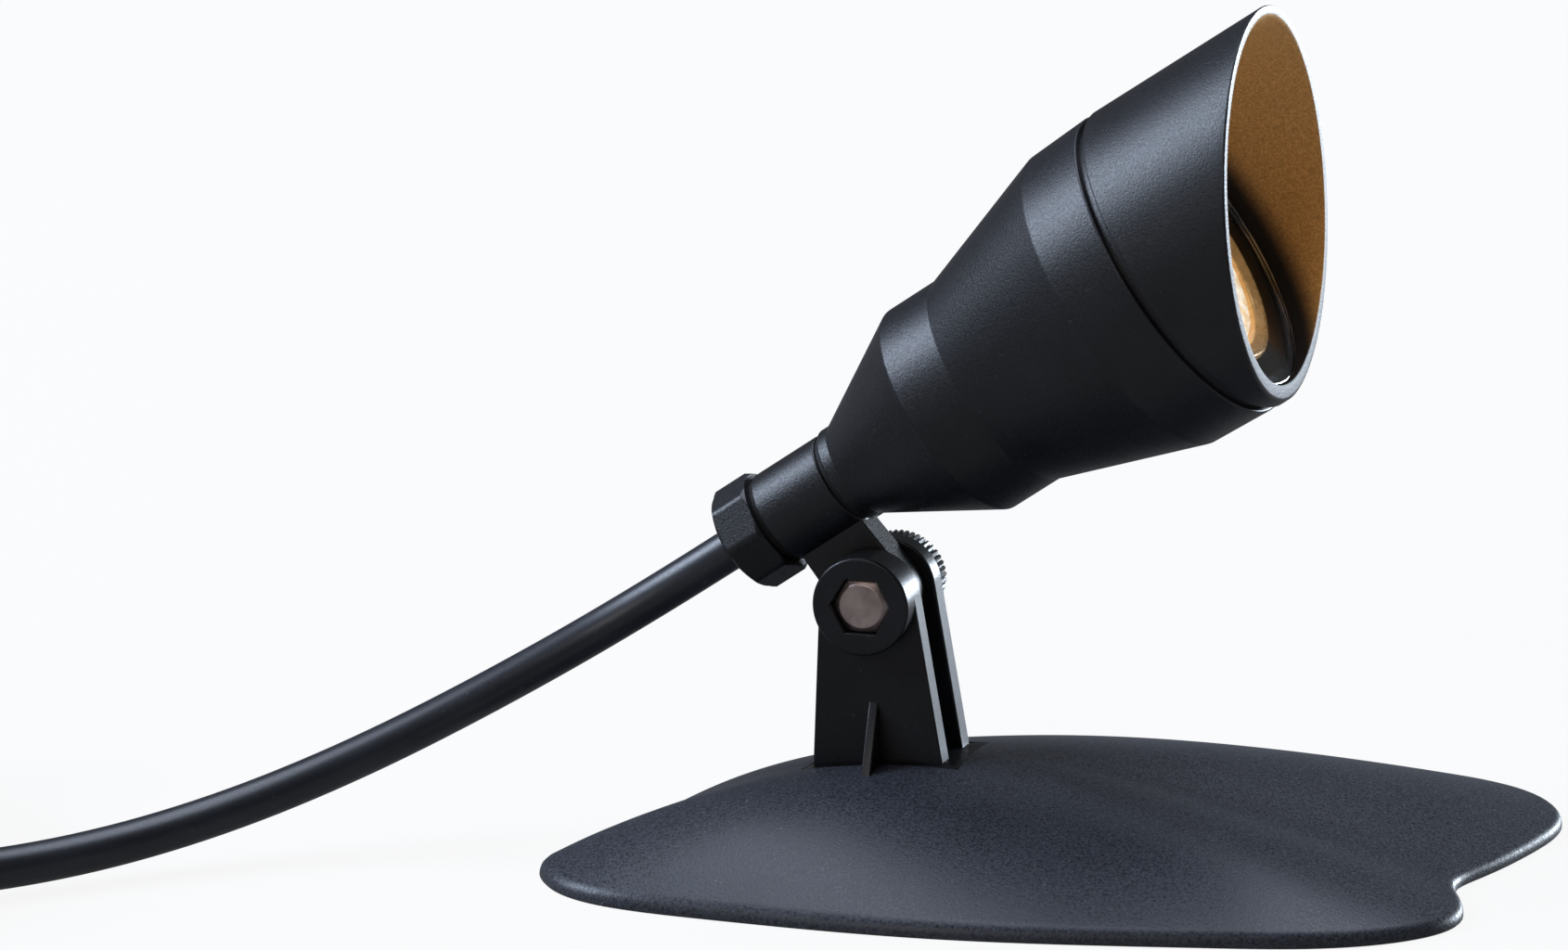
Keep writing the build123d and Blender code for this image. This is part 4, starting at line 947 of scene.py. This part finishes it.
neck_profile = rounded([
    (-7.0, 7.4, 0.35), (5.0, 7.4, 0.35), (5.0, 6.0, 0), (14.0, 6.0, 0.4), (14.0, 3.35, 0), (-9.0, 3.35, 0),
    (-9.0, 4.7, 0), (-13.4, 4.7, 0), (-13.4, 6.2, 0.3), (-7.0, 6.2, 0),
])
lug = hull((0, AXIS_OFFSET), 6.1, (-4.7, 5.2), (6.6, 5.2))
lug = [Vector((-p.x, -p.y)) for p in lug]
knuckle = [turned(neck_profile, on_head), slab(lug, -3.0, 3.0, 0.4, on_lug)]
add_piece("knuckle_moulding", knuckle, "head", "black_plastic", "knuckle", head_plastic)

# %% The gland nut
NUT_REAR = -14.9
NUT_FRONT = -7.8
NUT_FLATS = 16.0
NUT_CORNER = NUT_FLATS * 0.5355
NUT_STEPS = 192


def nut_radius(angle):
    """Radius of the eight-sided nut, with a corner at the top, cut back a little at its corners."""
    return min(NUT_FLATS / 2 / math.cos(angle % (math.pi / 4) - math.pi / 8), NUT_CORNER)


nut_angles = round_angles(NUT_STEPS)
nut_rings = [(NUT_REAR, limit) for limit in (3.3, 3.9, 6.4)]
nut_rings += [(NUT_REAR + d, 6.65 + 2.0 * d - 0.25 * d ** 2) for d in (0.0, 0.1, 0.25, 0.45, 0.7, 0.95, 1.1)]
nut_rings += [(NUT_FRONT - d, NUT_FLATS / 2 + d) for d in (0.55, 0.4, 0.2, 0.0)]
nut_rings += [(NUT_FRONT, 6.3), (-13.5, 6.3), (-13.5, 3.3)]
nut = net([[on_head(s, min(nut_radius(a), limit), a) for a in nut_angles] for s, limit in nut_rings], closed_rows=True)
add_piece("gland_nut_moulding", [nut], "head", "black_plastic", "gland_nut", head_plastic)

# %% [markdown]
# ## The housing
# The housing is a turned moulding: a flange, a cone, a short straight step, a second cone and the front bezel. Its
# profile goes on round the inside, so that it is a real wall.

# %% The housing
housing_profile = rounded([
    (5.9, 6.1, 0), (5.9, 7.75, 0.35), (7.8, 7.75, 0.4), (25.8, 17.43, 0.9), (34.75, 17.43, 0.7), (58.3, 25.0, 1.6),
    (68.6, 25.45, 0.4), (68.6, 23.0, 0.15), (59.6, 23.0, 0), (54.0, 19.4, 0), (50.0, 19.4, 0), (50.0, 15.23, 0),
    (28.0, 15.23, 0), (14.0, 8.3, 0), (14.0, 6.1, 0),
], step=9)
housing = turned(housing_profile, on_head)
add_piece("housing_moulding", [housing], "head", "black_plastic", "housing", head_plastic)

# %% [markdown]
# ## The hood
# The hood is a thin tube with a mouth that is cut on a slant, so that it shades the lamp from above. A Boolean could
# cut it, but then the lip would be a raw edge. Here each column of points ends where the slanted plane crosses it, and
# a small arc rolls over the lip. The inner faces get the painted glow: warm brown painted light, with painted shade
# next to the glass.

# %% The hood
HOOD_CUT = 86.3
HOOD_SLOPE = math.tan(math.radians(29.5))
HOOD_TURN = math.radians(4.2)
HOOD_RADIUS = 25.55
HOOD_BORE = 23.3
HOOD_REAR = 69.9
HOOD_SEAT = 70.2
HOOD_END = HOOD_CUT + 1.2 * HOOD_RADIUS * HOOD_SLOPE
OUTER_TAPER = 0.45
INNER_TAPER = 0.3
WALL_START = 70.5
WALL_ROWS = 14
MOUTH_RADIUS = 25.3
LIP = 0.42
PAINTED_GLOW_REAR = 70.1
PAINTED_GLOW_RADIUS = 24.1


def hood_column(angle):
    """The closed profile of the hood at one angle."""

    def mouth(r):
        return HOOD_CUT + HOOD_SLOPE * r * math.cos(angle - HOOD_TURN)

    def outside(s):
        return HOOD_RADIUS - OUTER_TAPER * (s - HOOD_REAR) / (HOOD_END - HOOD_REAR)

    def inside(s):
        return HOOD_BORE + INNER_TAPER * (s - HOOD_SEAT) / (HOOD_END - HOOD_SEAT)

    def wall(start, end, radius_at):
        stations = [start + (end - start) * i / WALL_ROWS for i in range(WALL_ROWS + 1)]
        return [(s, radius_at(s)) for s in stations]

    column = [(60.0, 21.2), (60.0, 22.9), (68.6, 22.9), (68.6, 24.45), (69.9, 24.45)]
    column += [(69.9, 25.25), (69.96, 25.44), (70.2, 25.545)]
    end = mouth(MOUTH_RADIUS) - LIP
    column += wall(WALL_START, end, outside)
    outer, inner = outside(end), inside(end)
    for edge, side, turns in ((outer, -1, (30, 60, 90)), (inner, 1, (90, 60, 30))):
        for turn in turns:
            a = math.radians(turn)
            r = edge + side * LIP * (1 - math.cos(a))
            column.append((mouth(r) - LIP * (1 - math.sin(a)), r))
    column += wall(mouth(inner) - LIP, HOOD_SEAT, inside)
    return column + [(HOOD_SEAT, 21.2)]


columns = [hood_column(a) for a in ring_angles]
hood_rows = [[on_head(*place, a) for place, a in zip(row, ring_angles)] for row in zip(*columns)]
hood_mesh = make_mesh("hood_moulding", net(hood_rows, closed_rows=True))
# The inner faces beyond the glass take the finish with the painted light.
for face in hood_mesh.polygons:
    off = face.center / MM - HEAD_MIDDLE
    station = off.dot(AIM)
    radius = (off - AIM * station).length
    face.material_index = int(station > PAINTED_GLOW_REAR and radius < PAINTED_GLOW_RADIUS)
add_piece("hood_moulding", hood_mesh, "head", "black_plastic", "front_hood", head_plastic, hood_lining)

# %% [markdown]
# ## Glass, lens and gold ring
# Behind the glass sits a lens with a dimpled front, held by a gold ring. The dimples follow a rule, the way seeds sit
# in a sunflower: each one is a fixed turn on from the last, and its distance grows with the root of its number. A tree
# of Geometry Nodes lays them out.

# %% Glass and ring
pane_profile = rounded([(70.6, 0, 0), (70.6, 23.2, 0.35), (72.6, 23.2, 0.45), (72.6, 0, 0)])
add_piece("front_pane", [turned(pane_profile, on_head)], "head", "clear_glass", "front_glass", front_pane)

ring_profile = rounded([
    (66.4, 15.6, 0), (66.4, 18.0, 0.2), (70.1, 18.0, 0.7), (70.1, 16.9, 0.4), (69.3, 15.6, 0.5),
])
add_piece("lens_ring_gold", [turned(ring_profile, on_head)], "head", "gold_trim", "lens_ring", ring_gold)

# %% The dimpled lens
GOLDEN_TURN = math.pi * (3 - math.sqrt(5))
BEAD_SEGMENTS = 9
BEAD_RINGS = 6
LENS_FACE = 69.0


def seeds_tree():
    """Flattened beads laid out as a sunflower's seeds on a disc."""
    tree, given = new_tree("seed_disc", "Disc Radius", "Bead Radius", "Bead Height")
    index = add_node(tree, "GeometryNodeInputIndex")
    angle = maths(tree, "MULTIPLY", index, GOLDEN_TURN)
    share = maths(tree, "SQRT", maths(tree, "DIVIDE", maths(tree, "ADD", index, 0.5), given["Count"]))
    reach = maths(tree, "MULTIPLY", share, given["Disc Radius"])
    place = add_node(
        tree, "ShaderNodeCombineXYZ", X=maths(tree, "MULTIPLY", reach, maths(tree, "COSINE", angle)),
        Y=maths(tree, "MULTIPLY", reach, maths(tree, "SINE", angle)),
    )
    points = add_node(tree, "GeometryNodePoints", Count=given["Count"], Position=place)
    bead = add_node(tree, "GeometryNodeMeshUVSphere", Segments=BEAD_SEGMENTS, Rings=BEAD_RINGS, Radius=1.0)
    size = add_node(
        tree, "ShaderNodeCombineXYZ", X=given["Bead Radius"], Y=given["Bead Radius"], Z=given["Bead Height"]
    )
    return repeat_on(tree, points, bead, given["Finish"], Scale=size)


beads = run_tree(
    seeds_tree(), Count=190, Disc_Radius=13.6 * MM, Bead_Radius=1.15 * MM, Bead_Height=0.42 * MM, Finish=lens_acrylic
)
face_on = Matrix((HEAD_UP, ACROSS, AIM)).transposed().to_4x4()
beads.transform(Matrix.Translation((HEAD_MIDDLE + AIM * LENS_FACE) * MM) @ face_on)
lens_profile = rounded([
    (60.2, 0, 0), (60.2, 2.1, 0.3), (57.0, 2.1, 0.1), (57.0, 4.6, 0.4), (66.4, 14.0, 0.1), (66.4, 15.4, 0.1),
    (67.4, 15.4, 0.1), (68.0, 14.8, 0.2), (LENS_FACE, 14.7, 0.3), (LENS_FACE, 0, 0),
])
lens_mesh = joined("dimpled_lens", make_mesh("lens_body", turned(lens_profile, on_head)), beads)
add_piece("dimpled_lens", lens_mesh, "head", "clear_acrylic", "collimator_lens", lens_acrylic)

# %% [markdown]
# ## The connector and the ties
# The put-away end of the cable carries a moulded connector with a ribbed collar, and two nylon ties hold the coil. All
# of it is turned or lofted like the rest, in the frame of the cable's last direction.

# %% The connector
CONNECTOR_SIDE = end_way.cross(Vector((0, 0, 1))).normalized()
CONNECTOR_TOP = CONNECTOR_SIDE.cross(end_way)
COLLAR_MIDDLE = 40.5
PIN_OFFSET = 2.1
PIN_STEPS = 48


def on_connector(s, r, angle):
    """A point of the connector, s from where the cable ends."""
    return connector_start + end_way * s + (CONNECTOR_SIDE * math.cos(angle) + CONNECTOR_TOP * math.sin(angle)) * r


tail = [(0.0, 0.0, 0), (0.0, 3.6, 0.3)]
for i in range(4):
    at = 2.6 + 3.9 * i
    tail += [(at, 3.65 + 0.06 * at, 0.1), (at + 0.4, 3.15 + 0.06 * at, 0.1), (at + 1.3, 3.2 + 0.06 * at, 0.1)]
    tail += [(at + 1.7, 3.72 + 0.06 * at, 0.1)]
tail += [(18.0, 4.5, 0.2), (19.2, 5.4, 0.5), (38.0, 5.4, 0.4), (38.0, 0.0, 0)]
tail_shell = turned(rounded(tail), on_connector, SMALL_STEPS)
connector = add_piece("connector_moulding", [tail_shell], "base", "black_plastic", "connector_body", cable_rubber)

collar_profile = rounded([(35.0, 5.5, 0.1), (35.0, 6.1, 0.3), (46.0, 6.1, 0.4), (46.0, 5.5, 0.1)])
collar_ribs = run_tree(
    rib_ring, Ring_Radius=6.1 * MM, Rib_Radius=0.5 * MM, Rib_Length=9.6 * MM, End_Taper=8.0, Count=24,
    Finish=head_plastic,
)
ahead = Matrix((CONNECTOR_SIDE, CONNECTOR_TOP, end_way)).transposed().to_4x4()
collar_ribs.transform(Matrix.Translation((connector_start + end_way * COLLAR_MIDDLE) * MM) @ ahead)
collar_body = make_mesh("collar_body", turned(collar_profile, on_connector, SMALL_STEPS))
collar_mesh = joined("collar_moulding", collar_body, collar_ribs)
collar = add_piece("collar_moulding", collar_mesh, "base", "black_plastic", "connector_collar", head_plastic)


def on_pin(side):
    """Places points round one of the two pins."""
    return lambda s, r, a: on_connector(s, r, a) + CONNECTOR_SIDE * (side * PIN_OFFSET)


pin_profile = rounded([(38.0, 0, 0), (38.0, 1.0, 0), (44.0, 1.0, 0.6), (44.0, 0, 0)])
pin_shells = [turned(pin_profile, on_pin(side), PIN_STEPS) for side in (-1, 1)]
pins = add_piece("contact_pins", pin_shells, "base", "brass", "connector_pins", turned_brass)

# %% The ties
TIE_THICK = 1.0
TIE_ROOM = 0.6
TIE_HALF = 3.4
TIE_CORNER = 2.6
TIE_EDGE = 0.2
TIE_PLAY = 0.06


def tie_shell(turn):
    """A strap round the coil's section at one place, with rounded corners and edges."""
    angle = COIL_START - 2 * math.pi * turn
    outward = Vector((math.cos(angle), math.sin(angle), 0))
    sideways = Vector((-outward.y, outward.x, 0))
    room = CABLE_D / 2 + TIE_ROOM
    drift = COIL_STEP * min(turn, 0.5 - turn)
    inner, outer = COIL_INNER + drift - room, COIL_OUTER - drift + room
    top = coil_place(LAST_LAYER * COIL_LAP + turn)
    knee = (top - COIL_MIDDLE).dot(outward) + room
    crown = top.z + room
    shoulder = COIL_FLOOR + 2 * COIL_CLIMB + room
    corners = [(inner, TIE_THICK), (outer, TIE_THICK), (outer, shoulder), (knee, crown), (inner, crown)]
    loop = rounded([(*corner, TIE_CORNER) for corner in corners], step=10)
    grown = inset(loop, -TIE_THICK + TIE_PLAY)
    near, far = inset(loop, -TIE_EDGE), inset(grown, TIE_EDGE)
    rows = []
    for drawn, half in (
        (loop, TIE_HALF - TIE_EDGE), (loop, -TIE_HALF + TIE_EDGE), (near, -TIE_HALF), (far, -TIE_HALF),
        (grown, -TIE_HALF + 0.25), (grown, TIE_HALF - 0.25), (far, TIE_HALF), (near, TIE_HALF),
    ):
        rows.append([COIL_MIDDLE + outward * p.x + Vector((0, 0, p.y)) + sideways * half for p in drawn])
    return net(rows, closed_rows=True)


straps = [tie_shell(1 / 6), tie_shell(1 / 3)]
ties = add_piece("coil_straps", straps, "base", "nylon_strap", "coil_ties", nylon_strap)

# %% [markdown]
# ## The pieces inside
# Seals, screws, boards, the heat sink and the wires keep their solids' shapes, which are right as they are. They only
# need finishes of their own.

# %% Finish the inner solids
board_white = plain_finish("board_white", (0.72, 0.72, 0.70), (0.84, 0.84, 0.82), (0.35, 0.5))
board_green = plain_finish("board_green", (0.02, 0.12, 0.05), (0.04, 0.2, 0.09), (0.3, 0.5))
phosphor = plain_finish("phosphor", (0.75, 0.52, 0.10), (0.9, 0.68, 0.18), (0.3, 0.5), 0.4)
wire_red = plain_finish("wire_red", (0.22, 0.03, 0.025), (0.32, 0.05, 0.04), (0.35, 0.5))
part_dark = plain_finish("part_dark", (0.02, 0.02, 0.025), (0.04, 0.04, 0.045), (0.4, 0.6))
holder_black = plain_finish("holder_black", (0.008, 0.007, 0.006), (0.016, 0.014, 0.012), (0.4, 0.6))
INNER_FINISHES = {
    "fork_screws": bolt_zinc, "neck_gasket": seal_rubber, "gland_washer": seal_rubber, "gland_seal": seal_rubber,
    "cable_end": cable_rubber, "hood_seal": seal_rubber, "glass_gasket": seal_rubber, "heat_sink": sink_metal,
    "led_board": board_white, "driver_pad": seal_rubber, "driver_board": board_green, "board_screws": bolt_zinc,
    "sink_screws": bolt_zinc, "led_emitter": phosphor, "lens_holder": holder_black, "led_wires": wire_red,
    "supply_wires": wire_red, "driver_components": part_dark,
}
for name, finish in INNER_FINISHES.items():
    solid = nodes[name]
    solid.data.materials.clear()
    solid.data.materials.append(finish)
print("inner solids finished", len(INNER_FINISHES))

# %% [markdown]
# ## Floor and light
# The photograph shows the light against white. A wide pale floor gives that: to the camera and through glass it is
# mostly white by itself, and the rest of it takes the light, so it keeps a soft shadow. The undersides in the
# photograph mirror a dark table, so the floor is dimmer to them. The sheen on the head shows where the window was:
# low on the left. A panel behind on the right draws the bright front edges of the fork, a wide lamp above gives the
# base its sheen along the near edge, and a small one in front fills the shade.

# %% Floor
FLOOR_SHARE = 0.9
MIRRORED_LIGHT = 0.2
FLOOR_HALF = 6
floor_finish = plain_finish(
    "floor_finish", (0.48, 0.48, 0.48), (0.52, 0.52, 0.52), (0.85, 0.95), 900.0, Specular_IOR_Level=0.0
)
rays = add_node(floor_finish, "ShaderNodeLightPath").outputs
mirrored = rays["Is Glossy Ray"]
seen = maths(floor_finish, "MAXIMUM", rays["Is Camera Ray"], rays["Is Transmission Ray"])
seen = maths(floor_finish, "MAXIMUM", seen, mirrored)
share = maths(floor_finish, "MULTIPLY", seen, FLOOR_SHARE)
glow = maths(floor_finish, "MULTIPLY_ADD", mirrored, MIRRORED_LIGHT - 1, 1.0)
white = add_node(floor_finish, "ShaderNodeEmission", Color=(1, 1, 1, 1), Strength=glow)
blend = add_node(floor_finish, "ShaderNodeMixShader")
for socket, value in zip(blend.inputs, (share, shader_of(floor_finish), white)):
    feed(socket, value)
fill(floor_finish.node_tree.nodes["Material Output"], Surface=blend)
floor_mesh = bpy.data.meshes.new("floor")
corners = [(x * FLOOR_HALF, y * FLOOR_HALF, 0) for x, y in ((-1, -1), (1, -1), (1, 1), (-1, 1))]
floor_mesh.from_pydata(corners, [], [(0, 1, 2, 3)])
floor = link_mesh("floor", floor_mesh, floor_finish)
print("floor", [round(x, 1) for x in floor.dimensions])

# %% Lights
WORLD_LIGHT = 0.08


def soft_lamp(name, place, aim, size, radiance, colour):
    """A soft lamp that faces a point, given by how bright its face looks."""
    data = bpy.data.lights.new(name, "AREA")
    data.shape = "RECTANGLE"
    data.size, data.size_y = size
    data.energy = radiance * math.pi * size[0] * size[1]
    data.color = colour
    lamp = add_object(name, data)
    lamp.location = place
    lamp.rotation_euler = (Vector(aim) - Vector(place)).to_track_quat("-Z", "Y").to_euler()


soft_lamp("window_lamp", (-1.97, -0.46, 1.40), (0, 0, 0.07), (1.4, 1.1), 13.5, (0.70, 0.81, 1.0))
soft_lamp("edge_panel", (0.74, 1.34, 0.11), (0, 0, 0.05), (0.6, 0.2), 58.0, (0.78, 0.88, 1.0))
soft_lamp("front_lamp", (-0.30, -1.90, 1.00), (0.03, 0, 0.1), (0.8, 0.8), 2.5, (1.0, 0.95, 0.90))
soft_lamp("sky_lamp", (-0.05, 0.40, 1.90), (0, 0, 0), (1.5, 1.5), 4.8, (0.76, 0.84, 1.0))

world = bpy.data.worlds.new("sky")
bpy.context.scene.world = world
world.use_nodes = True
fill(world.node_tree.nodes["Background"], Color=(0.95, 0.97, 1.0, 1.0), Strength=WORLD_LIGHT)
bpy.context.scene.view_settings.view_transform = "Standard"
